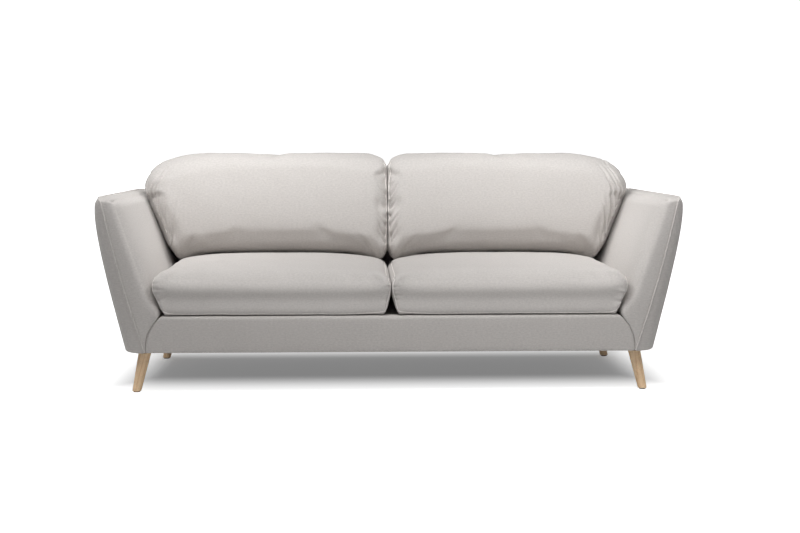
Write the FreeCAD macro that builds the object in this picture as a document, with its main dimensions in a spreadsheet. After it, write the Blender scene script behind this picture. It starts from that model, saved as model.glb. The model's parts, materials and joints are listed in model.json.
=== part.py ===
import FreeCAD, Part
import math
import os

import Sketcher
from FreeCAD import Placement, Rotation
from FreeCAD import Vector as V

# Two-seat sofa with flared shell arms, loose cushions and splayed turned legs.
# Frame: X to the sitter's left as seen from the front (the right of a front view), Y backwards, Z up.
# The origin is on the floor under the middle of the sofa. All sizes are millimetres.

DIMENSIONS = {
    # outline of the upholstered body
    "widest_half_width": 1062,
    "foot_half_width": 955,
    "piping_half_width": 871,
    "rise_to_widest": 485.3,
    "flare_power": 1.5,
    "piping_slope": 0.336,
    "piping_bow": 0.00013,
    "inner_face_x": 813.5,
    "inner_face_slope": 0.364,
    "underside_z": 146,
    "deck_z": 277,
    "rim_z": 692,
    "front_y": -450,
    "outer_back_y": 356.7,
    "outer_back_lean": 0.1983,
    "inner_back_y": 290,
    "inner_back_lean": 0.237,
    "corner_depth_low": 100,
    "corner_depth_high": 200,
    "corner_depth_rise": 300,
    # sheet goods
    "cover_thickness": 3,
    "foam_thickness": 25,
    "seat_side_foam": 32,
    "back_foam_thickness": 30,
    "back_foam_lip": 28,
    "arm_foam_lip": 34,
    "panel_thickness": 5,
    "panel_drop": 20,
    "lining_thickness": 1.5,
    "piping_radius": 4,
    "piping_turn": 14,
    "piping_setback": 2,
    # wooden frame
    "rail_half_width": 905,
    "rail_thickness": 25,
    "rail_bottom_z": 150.5,
    "rail_height": 111.5,
    "rear_rail_y": 318,
    "side_rail_x": 905,
    "centre_rail_height": 90,
    "board_thickness": 18,
    "post_thickness": 30,
    "post_x": 775,
    "post_gap_front": 38,
    "post_gap_rear": 8,
    "back_rail_height": 40,
    "back_rail_drop": 30,
    "arm_board_drop": 55,
    "arm_board_outer_gap": 30,
    "arm_board_narrowing": 10,
    "block_leg": 110,
    "block_height": 60,
    # legs and their fittings
    "leg_x": 880,
    "leg_front_y": -380,
    "leg_rear_y": 300,
    "leg_top_radius": 22.5,
    "leg_foot_radius": 15.5,
    "leg_side_splay": 12,
    "leg_end_splay": 7,
    "glide_radius": 12,
    "glide_height": 4,
    "bolt_radius": 4,
    "bolt_clearance": 0.1,
    "plate_hole_clearance": 0.6,
    "lining_hole_clearance": 2,
    "bolt_in_leg": 45,
    "bolt_in_block": 48,
    "plate_side": 62,
    # suspension
    "spring_wire_radius": 1.9,
    "spring_above_rail": 4.2,
    "spring_pitch": 31,
    "spring_half_bar": 18,
    "spring_bars": 24,
    "springs_per_seat": 4,
    "spring_first_x": 110,
    "spring_spacing": 205,
    "strap_width": 50,
    "strap_thickness": 2,
    "strap_count": 5,
    "strap_above_deck": 60,
    "strap_below_rim": 90,
    # loose cushions
    "cushion_skin": 4,
    "zip_half_run": 330,
    "zip_middle_x": 440,
    "seat_zip_y": 280,
    "seat_zip_z": 345,
    "back_zip_y": 322,
    "back_zip_z": 465,
    "tape_thickness": 1.5,
    "tape_width": 24,
    "slider_width": 9,
    "slider_depth": 3.5,
    "slider_height": 14,
    "slider_gap": 0.3,
    "slider_end_gap": 4,
}

doc = FreeCAD.newDocument("Sofa")
sheet = doc.addObject("Spreadsheet::Sheet", "Dims")
for row, (alias, value) in enumerate(DIMENSIONS.items(), start=1):
    sheet.set(f"A{row}", alias)
    sheet.set(f"B{row}", str(value))
    sheet.setAlias(f"B{row}", alias)
doc.recompute()

SIDES = {"left": -1, "right": 1}
SEAM_POINTS = [(861, 204), (846, 244), (829, 265)]
FRONT_HEIGHTS = (170, 280, 400, 540)
CORD_GAP = 0.2
CORNER_RISE = 3.5
CORNER_RUN = (32, 70)
CORD_START = 4
CORD_MIDDLE_Z = 400
LINING_INSET = 10
SMALL_GAP = 1
BOARD_CLEARANCE = 2
STRAP_CLEARANCE = 0.2
HOLE_OVERRUN = 2
BLANK_OVERRUN = 20
BLANK_SIDE = 400
REACH = 1200
CLIP_ROOM, CLIP_METAL, CLIP_LIP = 2.2, 1.8, 7.0
CLIP_GRIP = 0.2
SLIDER_ROUNDING = 1.2
TAB_THICKNESS, TAB_MARGIN, TAB_OVERLAP = 1.2, 2, 3
VOLUME_TOLERANCE = 0.02
subparts = []


def dim(alias):
    """The value of a driving dimension, read from the spreadsheet."""
    return float(sheet.get(alias))


FRONT_Y = dim("front_y")
COVER = dim("cover_thickness")
FOAM = dim("foam_thickness")
UNDERSIDE = dim("underside_z")
DECK = dim("deck_z")
RIM = dim("rim_z")
RAIL_TOP = dim("rail_bottom_z") + dim("rail_height")


# ---------------------------------------------------------------- outline formulas


def piping_x(z):
    """Half-width of the piped seam on the front of the arm at height z."""
    rise = z - UNDERSIDE
    return dim("piping_half_width") + dim("piping_slope") * rise - dim("piping_bow") * rise**2


def outer_x(z):
    """Half-width of the arm's outside, which flares out and is widest near the top."""
    share = (z - UNDERSIDE) / dim("rise_to_widest")
    bulge = dim("widest_half_width") - dim("foot_half_width")
    return dim("foot_half_width") + bulge * (1 - abs(1 - share) ** dim("flare_power"))


def inner_x(z):
    """Half-width between the arms' flat, leaning inner faces."""
    return dim("inner_face_x") + dim("inner_face_slope") * (z - DECK)


def corner_depth(z):
    """How far back the arm's rounded front corner runs before the side goes straight."""
    share = min(1.0, (z - UNDERSIDE) / dim("corner_depth_rise"))
    gain = dim("corner_depth_high") - dim("corner_depth_low")
    return dim("corner_depth_low") + gain * (2 * share - share**2)


def outer_back_y(z):
    """The outside back at height z."""
    return dim("outer_back_y") + dim("outer_back_lean") * (z - UNDERSIDE)


def inner_back_y(z):
    """The upholstered face that the back cushions lean on."""
    return dim("inner_back_y") + dim("inner_back_lean") * (z - DECK)


def levels(low, high, count=9):
    """Evenly spaced heights for the sections of a loft."""
    return [low + (high - low) * step / count for step in range(count + 1)]


# ---------------------------------------------------------------- document helpers


def export_as(feature, label):
    """Gives a sub-part its name and puts it on the list that is written out."""
    feature.Label = label
    subparts.append(feature)
    return feature


def bind(feature, **cells):
    """Binds properties to spreadsheet expressions; placement_x and so on set the position."""
    for name, expression in cells.items():
        path = name.replace("placement_", "Placement.Base.")
        feature.setExpression(path, expression)


def box(label, length, width, height, x, y, z):
    """A board as a Part::Box; every argument is an expression on the spreadsheet."""
    board = doc.addObject("Part::Box", label)
    bind(board, Length=length, Width=width, Height=height)
    bind(board, placement_x=x, placement_y=y, placement_z=z)
    return export_as(board, label)


def prism(name, plane, points, thickness, offset):
    """A PartDesign body: a polygon sketch on an origin plane, padded by thickness.

    The sketch is on XZ_Plane, padded towards +Y, or on YZ_Plane, padded towards +X.
    Each point is a pair of numbers or spreadsheet expressions.
    """
    body = doc.addObject("PartDesign::Body", name)
    sketch = body.newObject("Sketcher::SketchObject", name + "_outline")
    origin_plane = [f for f in body.Origin.OriginFeatures if f.Role == plane][0]
    sketch.AttachmentSupport = [(origin_plane, "")]
    sketch.MapMode = "FlatFace"
    start = [V(*[evaluated(c) for c in point], 0) for point in points]
    count = len(points)
    for index in range(count):
        sketch.addGeometry(Part.LineSegment(start[index], start[(index + 1) % count]))
    for index in range(count):
        sketch.addConstraint(Sketcher.Constraint("Coincident", index, 2, (index + 1) % count, 1))
    for index, point in enumerate(points):
        for kind, coordinate in zip(("DistanceX", "DistanceY"), point):
            value = evaluated(coordinate)
            number = sketch.addConstraint(Sketcher.Constraint(kind, -1, 1, index, 1, value))
            if isinstance(coordinate, str):
                sketch.setExpression(f"Constraints[{number}]", coordinate)
    pad = body.newObject("PartDesign::Pad", name + "_pad")
    pad.Profile = sketch
    pad.Reversed = plane == "XZ_Plane"
    pad.setExpression("Length", str(thickness))
    body.Tip = pad
    axis = "y" if plane == "XZ_Plane" else "x"
    body.setExpression("Placement.Base." + axis, str(offset))
    return body


def evaluated(value):
    """The number that an expression on the spreadsheet stands for."""
    if not isinstance(value, str):
        return float(value)
    return float(sheet.evalExpression(value.replace("Dims.", "")))


def solid(label, shape):
    """A free-form sub-part as a Part::Feature."""
    feature = doc.addObject("Part::Feature", label)
    feature.Shape = shape
    return export_as(feature, label)


def mirrored(label, source):
    """The same sub-part on the other side of the sofa."""
    copy = doc.addObject("Part::Mirroring", label)
    copy.Source = source
    copy.Base = V(0, 0, 0)
    copy.Normal = V(1, 0, 0)
    return export_as(copy, label)


def pair(name, source):
    """Names a right-hand sub-part and makes its left-hand twin."""
    export_as(source, name + "_right")
    return mirrored(name + "_left", source)


# ---------------------------------------------------------------- geometry helpers


def outline_face(points, to_space):
    """A flat face through 2D points; to_space places each of them."""
    corners = [to_space(*point) for point in points]
    return Part.Face(Part.makePolygon(corners + corners[:1]))


def slab_front(points, y, thickness):
    """A sheet parallel to the front, from y backwards, outlined in X and Z."""
    return outline_face(points, lambda x, z: V(x, y, z)).extrude(V(0, thickness, 0))


def slab_side(points, x, thickness):
    """A sheet parallel to the side, from x towards +X, outlined in Y and Z."""
    return outline_face(points, lambda y, z: V(x, y, z)).extrude(V(thickness, 0, 0))


def corner_arc(z, inset):
    """The arm's rounded front corner in plan at height z, moved in by inset."""
    x = piping_x(z)
    depth = corner_depth(z)
    front = V(x, FRONT_Y + inset, z)
    side = V(outer_x(z) - inset, FRONT_Y + depth, z)
    ellipse = Part.Ellipse(front, side, V(x, FRONT_Y + depth, z))
    return Part.Arc(ellipse, 0, math.pi / 2).toShape()


def shell_section(z, inset, thickness, rear_gap):
    """Closed plan wire of a thin wall that follows the arm's outside at height z."""
    rear = outer_back_y(z) - rear_gap
    outside, inside = corner_arc(z, inset), corner_arc(z, inset + thickness)
    corner = FRONT_Y + corner_depth(z)
    side_points = [V(outer_x(z) - gap, corner, z) for gap in (inset, inset + thickness)]
    rear_points = [V(outer_x(z) - gap, rear, z) for gap in (inset, inset + thickness)]
    front_points = [V(piping_x(z), FRONT_Y + gap, z) for gap in (inset, inset + thickness)]
    edges = [
        outside,
        Part.makeLine(side_points[0], rear_points[0]),
        Part.makeLine(rear_points[0], rear_points[1]),
        Part.makeLine(rear_points[1], side_points[1]),
        inside,
        Part.makeLine(front_points[1], front_points[0]),
    ]
    return Part.Wire(Part.__sortEdges__(edges))


def shell_wall(inset, thickness, low, high, rear_gap):
    """A thin wall that follows the arm's outside from low to high."""
    wires = [shell_section(z, inset, thickness, rear_gap) for z in levels(low, high)]
    return Part.makeLoft(wires, True, True)


def arm_plan(z, inset, rear_gap):
    """Plan wire of the whole arm at height z, from its inner face to its outside."""
    rear = outer_back_y(z) - rear_gap
    edges = [corner_arc(z, inset)]
    corners = [
        V(outer_x(z) - inset, FRONT_Y + corner_depth(z), z),
        V(outer_x(z) - inset, rear, z),
        V(inner_x(z), rear, z),
        V(inner_x(z), FRONT_Y + inset, z),
        V(piping_x(z), FRONT_Y + inset, z),
    ]
    edges += [Part.makeLine(a, b) for a, b in zip(corners, corners[1:])]
    return Part.Wire(Part.__sortEdges__(edges))


def rounded_path(points, radius):
    """A wire of straight runs joined by tangent arcs."""
    edges, start = [], points[0]
    for before, corner, after in zip(points, points[1:], points[2:]):
        inward = (before - corner).normalize()
        outward = (after - corner).normalize()
        half = inward.getAngle(outward) / 2
        reach = radius / math.tan(half)
        first, last = corner + inward * reach, corner + outward * reach
        middle = corner + (inward + outward).normalize() * (radius / math.sin(half) - radius)
        edges.append(Part.makeLine(start, first))
        edges.append(Part.Arc(first, middle, last).toShape())
        start = last
    edges.append(Part.makeLine(start, points[-1]))
    return Part.Wire(edges)


def swept_rod(path, radius):
    """A round rod along a wire."""
    first = path.OrderedEdges[0]
    start = first.valueAt(first.FirstParameter)
    heading = first.tangentAt(first.FirstParameter)
    profile = Part.Wire(Part.Circle(start, heading, radius).toShape())
    return path.makePipeShell([profile], True, True)


def leg_axis(side, end):
    """The unit vector down a leg: side is -1 or 1 in X, end is -1 for front and 1 for rear."""
    across = math.tan(math.radians(dim("leg_side_splay")))
    along = math.tan(math.radians(dim("leg_end_splay")))
    return V(side * across, end * along, -1).normalize()


def leg_top(side, end):
    """The centre of a leg's top face, on the underside of the body."""
    y = dim("leg_front_y") if end < 0 else dim("leg_rear_y")
    return V(side * dim("leg_x"), y, UNDERSIDE)


CORNERS = [(side, end) for end in (-1, 1) for side in (-1, 1)]


def bolt_hole(side, end, radius):
    """A cylinder round a leg's bolt line, long enough to pierce everything it meets."""
    axis = leg_axis(side, end)
    length = dim("bolt_in_leg") + dim("bolt_in_block") + 2 * HOLE_OVERRUN
    start = leg_top(side, end) - axis * (dim("bolt_in_block") + HOLE_OVERRUN)
    return Part.makeCylinder(radius, length, start, axis)


# ---------------------------------------------------------------- wooden frame


def build_base_frame():
    """The box of rails that everything else is fixed to."""
    rail = "Dims.rail_thickness"
    bottom, height = "Dims.rail_bottom_z", "Dims.rail_height"
    width, half = "2 * Dims.rail_half_width", "-Dims.rail_half_width"
    front = "Dims.front_y + Dims.cover_thickness + Dims.foam_thickness"
    box("front_rail", width, rail, height, half, front, bottom)
    box("rear_rail", width, rail, height, half, "Dims.rear_rail_y", bottom)
    inner_front = front + " + " + rail
    run = f"Dims.rear_rail_y - ({inner_front})"
    box("side_rail_right", rail, run, height, "Dims.side_rail_x", inner_front, bottom)
    left = f"-Dims.side_rail_x - {rail}"
    box("side_rail_left", rail, run, height, left, inner_front, bottom)
    centre = "-Dims.rail_thickness / 2"
    box("centre_rail", rail, run, "Dims.centre_rail_height", centre, inner_front, bottom)


def build_back_frame():
    """Three leaning posts on the rear rail, joined by a top rail."""
    bottom = RAIL_TOP
    top = RIM - dim("back_rail_drop")
    rail_low = top - dim("back_rail_height")
    front, rear = dim("post_gap_front"), dim("post_gap_rear")
    outline = [
        (inner_back_y(bottom) + front, bottom),
        (outer_back_y(bottom) - rear, bottom),
        (outer_back_y(rail_low) - rear, rail_low),
        (inner_back_y(rail_low) + front, rail_low),
    ]
    thickness = dim("post_thickness")
    places = [-dim("post_x") - thickness, -thickness / 2, dim("post_x")]
    posts = [slab_side(outline, place, thickness) for place in places]
    solid("back_posts", Part.makeCompound(posts))
    cap = [
        (inner_back_y(rail_low) + front, rail_low),
        (outer_back_y(rail_low) - rear, rail_low),
        (outer_back_y(top) - rear, top),
        (inner_back_y(top) + front, top),
    ]
    span = "2 * (Dims.post_x + Dims.post_thickness)"
    start = "-Dims.post_x - Dims.post_thickness"
    export_as(prism("back_top_rail", "YZ_Plane", cap, span, start), "back_top_rail")


def build_arm_frames():
    """Shaped boards at the front and rear of each arm, a top board and a bent side panel."""
    low, high = RAIL_TOP, RIM - dim("arm_board_drop")
    middle = (low + high) / 2
    inner_gap = dim("seat_side_foam") + COVER + BOARD_CLEARANCE
    outer_gap = dim("arm_board_outer_gap")
    top_gap = outer_gap - dim("arm_board_narrowing")
    outline = [
        (inner_x(low) + inner_gap, low),
        (piping_x(low) + outer_gap, low),
        (piping_x(middle) + outer_gap, middle),
        (piping_x(high) + top_gap, high),
        (inner_x(high) + inner_gap, high),
    ]
    thickness = "Dims.board_thickness"
    front = "Dims.front_y + Dims.cover_thickness + Dims.foam_thickness + Dims.rail_thickness"
    board = prism("arm_front_board", "XZ_Plane", outline, thickness, front)
    pair("arm_front_board", board)
    board = prism("arm_rear_board", "XZ_Plane", outline, thickness, "Dims.rear_rail_y")
    pair("arm_rear_board", board)
    run = f"Dims.rear_rail_y + {thickness} - ({front})"
    inner = inner_x(high + dim("board_thickness")) + inner_gap
    outer = piping_x(high) + top_gap
    top = doc.addObject("Part::Box", "arm_top_board")
    bind(top, Length=str(outer - inner), Width=run, Height=thickness)
    bind(top, placement_x=str(inner), placement_y=front, placement_z=str(high))
    pair("arm_top_board", top)
    panel = doc.addObject("Part::Feature", "arm_side_panel")
    gap = dim("panel_thickness")
    wall = shell_wall(COVER, gap, UNDERSIDE, RIM - COVER, 2 * COVER)
    above = V(0, -REACH, RIM - dim("panel_drop"))
    panel.Shape = wall.cut(Part.makeBox(REACH, 2 * REACH, REACH, above))
    pair("arm_side_panel", panel)


def build_corner_blocks():
    """Glued triangular blocks that take the legs' bolts."""
    leg, height = dim("block_leg"), dim("block_height")
    bottom = dim("rail_bottom_z")
    front = FRONT_Y + COVER + FOAM + dim("rail_thickness")
    blocks = []
    for side, end in CORNERS:
        x = side * dim("side_rail_x")
        y = front if end < 0 else dim("rear_rail_y")
        corners = [V(x, y, bottom), V(x - side * leg, y, bottom), V(x, y - end * leg, bottom)]
        face = Part.Face(Part.makePolygon(corners + corners[:1]))
        block = face.extrude(V(0, 0, height))
        blocks.append(block.cut(bolt_hole(side, end, dim("bolt_radius") + dim("bolt_clearance"))))
    solid("corner_blocks", Part.makeCompound(blocks))


# ---------------------------------------------------------------- suspension


def zigzag_path(x, y, z):
    """The centreline of one sinuous spring: cross bars joined by half circles."""
    half, pitch = dim("spring_half_bar"), dim("spring_pitch")
    edges = []
    for bar in range(int(dim("spring_bars"))):
        way = 1 if bar % 2 == 0 else -1
        here = y + bar * pitch
        edges.append(Part.makeLine(V(x - way * half, here, z), V(x + way * half, here, z)))
        if bar < dim("spring_bars") - 1:
            bend = x + way * (half + pitch / 2)
            ends = [V(x + way * half, here + step, z) for step in (0, pitch)]
            edges.append(Part.Arc(ends[0], V(bend, here + pitch / 2, z), ends[1]).toShape())
    return Part.Wire(edges)


def spring_places(side):
    """Where the springs of one seat stand across the frame."""
    count = int(dim("springs_per_seat"))
    first, spacing = dim("spring_first_x"), dim("spring_spacing")
    return [side * (first + spacing * step) for step in range(count)]


def build_springs():
    """Sinuous springs from the front rail to the rear rail, each end in a folded clip."""
    wire = dim("spring_wire_radius")
    z = RAIL_TOP + dim("spring_above_rail")
    y = FRONT_Y + COVER + FOAM + dim("rail_thickness") / 2
    clips = []
    for name, side in SIDES.items():
        springs = []
        for x in spring_places(side):
            path = zigzag_path(x, y, z)
            springs.append(swept_rod(path, wire))
            last = y + (dim("spring_bars") - 1) * dim("spring_pitch")
            clips += [spring_clip(x, y, z, 1), spring_clip(x, last, z, -1)]
        solid("seat_springs_" + name, Part.makeCompound(springs))
    solid("spring_clips", Part.makeCompound(clips))


def spring_clip(x, y, z, way):
    """A C-shaped steel clip, open towards the middle of the seat, round the end bar."""
    low, high = z - CLIP_ROOM, z + CLIP_ROOM
    outline = [
        (-CLIP_LIP, low - CLIP_METAL + CLIP_GRIP),
        (CLIP_LIP, low - CLIP_METAL + CLIP_GRIP),
        (CLIP_LIP, low),
        (-CLIP_LIP + CLIP_METAL, low),
        (-CLIP_LIP + CLIP_METAL, high),
        (CLIP_ROOM + SMALL_GAP, high),
        (CLIP_ROOM + SMALL_GAP, high + CLIP_METAL),
        (-CLIP_LIP, high + CLIP_METAL),
    ]
    placed = [(y + way * along, level) for along, level in outline]
    width = dim("spring_half_bar")
    return slab_side(placed, x - width / 2, width)


def build_back_straps():
    """Elastic straps across the front of the back posts."""
    gap = dim("post_gap_front") - dim("strap_thickness") - STRAP_CLEARANCE
    low, high = DECK + dim("strap_above_deck"), RIM - dim("strap_below_rim")
    half = dim("post_x") + dim("post_thickness")
    count = int(dim("strap_count"))
    straps = []
    for step in range(count):
        bottom = low + (high - low - dim("strap_width")) * step / (count - 1)
        top = bottom + dim("strap_width")
        faces = [inner_back_y(bottom) + gap, inner_back_y(top) + gap]
        thick = dim("strap_thickness")
        outline = [
            (faces[0], bottom),
            (faces[0] + thick, bottom),
            (faces[1] + thick, top),
            (faces[1], top),
        ]
        straps.append(slab_side(outline, -half, 2 * half))
    solid("back_straps", Part.makeCompound(straps))


# ---------------------------------------------------------------- foam


def front_seam():
    """The curved seam between the front rail's cover and the arm, from the bottom up."""
    return [
        (dim("piping_half_width") - SMALL_GAP, UNDERSIDE),
        *SEAM_POINTS,
        (inner_x(DECK), DECK),
    ]


def arm_front_outline(inner_gap, outer_gap):
    """The arm's front face: up the piped seam, across the top and down the inner edge."""
    top = RIM - COVER
    outside = [(piping_x(z) - outer_gap, z) for z in (*FRONT_HEIGHTS, top)]
    inside = [(inner_x(top) + inner_gap, top), (inner_x(DECK) + inner_gap, DECK)]
    return outside + inside + SEAM_POINTS[::-1]


def build_arm_foam():
    """Foam on the arm's front, and a second sheet over its top and inner face."""
    front = slab_front(arm_front_outline(COVER, SMALL_GAP), FRONT_Y + COVER, FOAM)
    feature = doc.addObject("Part::Feature", "arm_front_foam")
    feature.Shape = front
    pair("arm_front_foam", feature)
    thick = dim("seat_side_foam")
    top, under = RIM - COVER, RIM - dim("arm_foam_lip")
    outline = [
        (inner_x(DECK) + COVER, DECK),
        (inner_x(top) + COVER, top),
        (piping_x(top), top),
        (piping_x(under), under),
        (inner_x(under) + COVER + thick, under),
        (inner_x(DECK) + COVER + thick, DECK),
    ]
    start = "Dims.front_y + Dims.cover_thickness + Dims.foam_thickness"
    run = f"Dims.rear_rail_y + Dims.rail_thickness - ({start})"
    pair("arm_inner_foam", prism("arm_inner_foam", "XZ_Plane", outline, run, start))


def flare_gauge(low, high):
    """The space between the arms' inner faces, as a tool that trims sheets across the back."""
    outline = [
        (-inner_x(low), low),
        (inner_x(low), low),
        (inner_x(high), high),
        (-inner_x(high), high),
    ]
    return slab_front(outline, 0, REACH)


def build_rail_and_back_foam():
    """Foam on the front rail, and a sheet over the inside and top of the back."""
    seam = front_seam()
    low = UNDERSIDE + dim("lining_thickness")
    half = [(seam[0][0] - SMALL_GAP, low)] + seam[1:]
    outline = [(-x, z) for x, z in half] + [(x, z) for x, z in reversed(half)]
    solid("front_rail_foam", slab_front(outline, FRONT_Y + COVER, FOAM))
    top, under = RIM - COVER, RIM - dim("back_foam_lip")
    thick = dim("back_foam_thickness")
    side = [
        (inner_back_y(DECK) + COVER, DECK),
        (inner_back_y(DECK) + COVER + thick, DECK),
        (inner_back_y(under) + COVER + thick, under),
        (outer_back_y(under) - COVER, under),
        (outer_back_y(top) - COVER, top),
        (inner_back_y(top) + COVER, top),
    ]
    sheet_across = slab_side(side, -REACH, 2 * REACH)
    solid("back_foam", sheet_across.common(flare_gauge(DECK, RIM)))


# ---------------------------------------------------------------- covers


def build_arm_covers():
    """The inner cover wraps front, inside and top; the outer cover is a shell to the back."""
    front = slab_front(arm_front_outline(0, 0), FRONT_Y, COVER)
    inner = [
        (inner_x(DECK), DECK),
        (inner_x(RIM - COVER), RIM - COVER),
        (inner_x(RIM - COVER) + COVER, RIM - COVER),
        (inner_x(DECK) + COVER, DECK),
    ]
    run = inner_back_y(DECK) - FRONT_Y - COVER
    inside = slab_front(inner, FRONT_Y + COVER, run)
    wires = [arm_plan(z, 0, COVER) for z in (RIM - COVER, RIM)]
    cap = Part.makeLoft(wires, True, True)
    feature = doc.addObject("Part::Feature", "arm_inner_cover")
    feature.Shape = front.fuse([inside, cap]).removeSplitter()
    pair("arm_inner_cover", feature)
    outer = doc.addObject("Part::Feature", "arm_outer_cover")
    outer.Shape = shell_wall(0, COVER, UNDERSIDE, RIM - COVER, COVER)
    pair("arm_outer_cover", outer)


def build_rail_and_back_covers():
    """Fabric on the front rail, the inside of the back and the outside of the back."""
    seam = front_seam()
    outline = [(-x, z) for x, z in seam] + [(x, z) for x, z in reversed(seam)]
    solid("front_rail_cover", slab_front(outline, FRONT_Y, COVER))
    side = [
        (inner_back_y(DECK), DECK),
        (inner_back_y(DECK) + COVER, DECK),
        (inner_back_y(RIM - COVER) + COVER, RIM - COVER),
        (outer_back_y(RIM - COVER) - COVER, RIM - COVER),
        (outer_back_y(RIM) - COVER, RIM),
        (inner_back_y(RIM), RIM),
    ]
    inside = slab_side(side, -REACH, 2 * REACH)
    solid("back_inner_cover", inside.common(flare_gauge(DECK, RIM)))
    wires = []
    for z in levels(UNDERSIDE, RIM):
        half, rear = outer_x(z), outer_back_y(z)
        corners = [
            V(-half, rear - COVER, z),
            V(half, rear - COVER, z),
            V(half, rear, z),
            V(-half, rear, z),
        ]
        wires.append(Part.makePolygon(corners + corners[:1]))
    solid("back_outer_cover", Part.makeLoft(wires, True, True))


def build_linings():
    """The deck cloth under the seat cushions and the dust cover under the frame."""
    thick = dim("lining_thickness")
    half = inner_x(DECK) - SMALL_GAP
    front = FRONT_Y + COVER + SMALL_GAP
    run = inner_back_y(DECK) - front - SMALL_GAP
    deck = Part.makeBox(2 * half, run, thick, V(-half, front, DECK - thick))
    foam_zone = Part.makeBox(2 * half, FOAM, thick, V(-half, FRONT_Y + COVER, DECK - thick))
    solid("deck_cloth", deck.cut(foam_zone))
    corner = corner_arc(UNDERSIDE, LINING_INSET)
    front_end, side_start = corner.Vertexes[0].Point, corner.Vertexes[1].Point
    if front_end.y > side_start.y:
        front_end, side_start = side_start, front_end
    side_end = V(side_start.x, dim("outer_back_y") - LINING_INSET, UNDERSIDE)
    other = [V(-p.x, p.y, p.z) for p in (front_end, side_start, side_end)]
    edges = [
        corner,
        Part.makeLine(side_start, side_end),
        Part.makeLine(side_end, other[2]),
        Part.makeLine(other[2], other[1]),
        corner.mirror(V(0, 0, 0), V(1, 0, 0)),
        Part.makeLine(other[0], front_end),
    ]
    outline = Part.Wire(Part.__sortEdges__(edges))
    lining = Part.Face(outline).extrude(V(0, 0, thick))
    for side, end in CORNERS:
        lining = lining.cut(bolt_hole(side, end, dim("bolt_radius") + dim("lining_hole_clearance")))
    solid("dust_cover", lining)


def build_piping():
    """One fabric-covered cord up the front of each arm and all round the shell's rim."""
    radius = dim("piping_radius")
    proud = radius + CORD_GAP
    z = RIM + proud
    edge = outer_x(RIM) - radius - dim("piping_setback")
    rear = outer_back_y(RIM) - radius - dim("piping_setback")
    front, start = FRONT_Y - proud, UNDERSIDE + CORD_START
    half = [
        V(piping_x(start), front, start),
        V(piping_x(CORD_MIDDLE_Z), front, CORD_MIDDLE_Z),
        V(piping_x(RIM), front - CORNER_RISE, z + CORNER_RISE),
        V(piping_x(RIM) + CORNER_RUN[0], FRONT_Y + CORNER_RUN[1], z),
        V(edge, FRONT_Y + corner_depth(RIM), z),
        V(edge, rear, z),
    ]
    route = half + [V(-p.x, p.y, p.z) for p in reversed(half)]
    path = rounded_path(route, dim("piping_turn"))
    cord = swept_rod(path, radius)
    expected = math.pi * radius**2 * sum(part.Length for part in path.Edges)
    if abs(cord.Volume / expected - 1) > VOLUME_TOLERANCE:
        raise RuntimeError("the piping's volume differs from its section times its length")
    solid("shell_piping", cord)


# ---------------------------------------------------------------- legs


def build_legs():
    """Turned, tapered and splayed legs, each cut level at the body and at its glide."""
    plates, bolts, glides = [], [], []
    for side, end in CORNERS:
        name = "leg_" + ("front" if end < 0 else "rear") + ("_left" if side < 0 else "_right")
        axis, top = leg_axis(side, end), leg_top(side, end)
        length = UNDERSIDE / -axis.z
        growth = (dim("leg_top_radius") - dim("leg_foot_radius")) / length
        extra = BLANK_OVERRUN
        cone = doc.addObject("Part::Cone", name + "_taper")
        bind(
            cone,
            Radius1=f"Dims.leg_top_radius + {growth * extra}",
            Radius2=f"Dims.leg_foot_radius - {growth * extra}",
            Height=str(length + 2 * extra),
        )
        cone.Placement = Placement(top - axis * extra, Rotation(V(0, 0, 1), axis))
        slab = doc.addObject("Part::Box", name + "_length")
        slab.Length = slab.Width = BLANK_SIDE
        bind(slab, Height="Dims.underside_z - Dims.glide_height")
        half = BLANK_SIDE / 2
        bind(slab, placement_x=str(top.x - half), placement_y=str(top.y - half))
        bind(slab, placement_z="Dims.glide_height")
        trimmed = doc.addObject("Part::Common", name + "_blank")
        trimmed.Base, trimmed.Tool = cone, slab
        hole = doc.addObject("Part::Cylinder", name + "_hole")
        bind(hole, Radius="Dims.bolt_radius + Dims.bolt_clearance")
        bind(hole, Height=f"Dims.bolt_in_leg + {extra + HOLE_OVERRUN}")
        hole.Placement = Placement(top - axis * extra, Rotation(V(0, 0, 1), axis))
        leg = doc.addObject("Part::Cut", name)
        leg.Base, leg.Tool = trimmed, hole
        export_as(leg, name)
        start = top - axis * dim("bolt_in_block")
        run = dim("bolt_in_block") + dim("bolt_in_leg")
        bolts.append(Part.makeCylinder(dim("bolt_radius"), run, start, axis))
        foot = top + axis * (UNDERSIDE - dim("glide_height")) / -axis.z
        base = V(foot.x, foot.y, 0)
        glides.append(Part.makeCylinder(dim("glide_radius"), dim("glide_height"), base))
        plates.append(leg_plate(side, end))
    solid("hanger_bolts", Part.makeCompound(bolts))
    solid("leg_glides", Part.makeCompound(glides))
    solid("leg_plates", Part.makeCompound(plates))


def leg_plate(side, end):
    """A square steel plate between the dust cover and the frame, pierced by the bolt."""
    half = dim("plate_side") / 2
    bottom = UNDERSIDE + dim("lining_thickness")
    thickness = dim("rail_bottom_z") - bottom
    top = leg_top(side, end)
    plate = Part.makeBox(2 * half, 2 * half, thickness, V(top.x - half, top.y - half, bottom))
    return plate.cut(bolt_hole(side, end, dim("bolt_radius") + dim("plate_hole_clearance")))


# ---------------------------------------------------------------- loose cushions


def seat_outlines():
    """Front and side outlines of the right seat cushion: runs, the crown's middle, runs."""
    front = [(24, 279), (785, 279), (818, 318), (838, 362), (830, 400)]
    front_end = [(36, 412), (6, 382), (6, 300)]
    side = [(280, 279), (-448, 279), (-463, 300), (-465, 345), (-458, 390), (-425, 430)]
    side_end = [(278, 436)]
    return (front, (430, 447), front_end), (side, (-100, 450), side_end)


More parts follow.
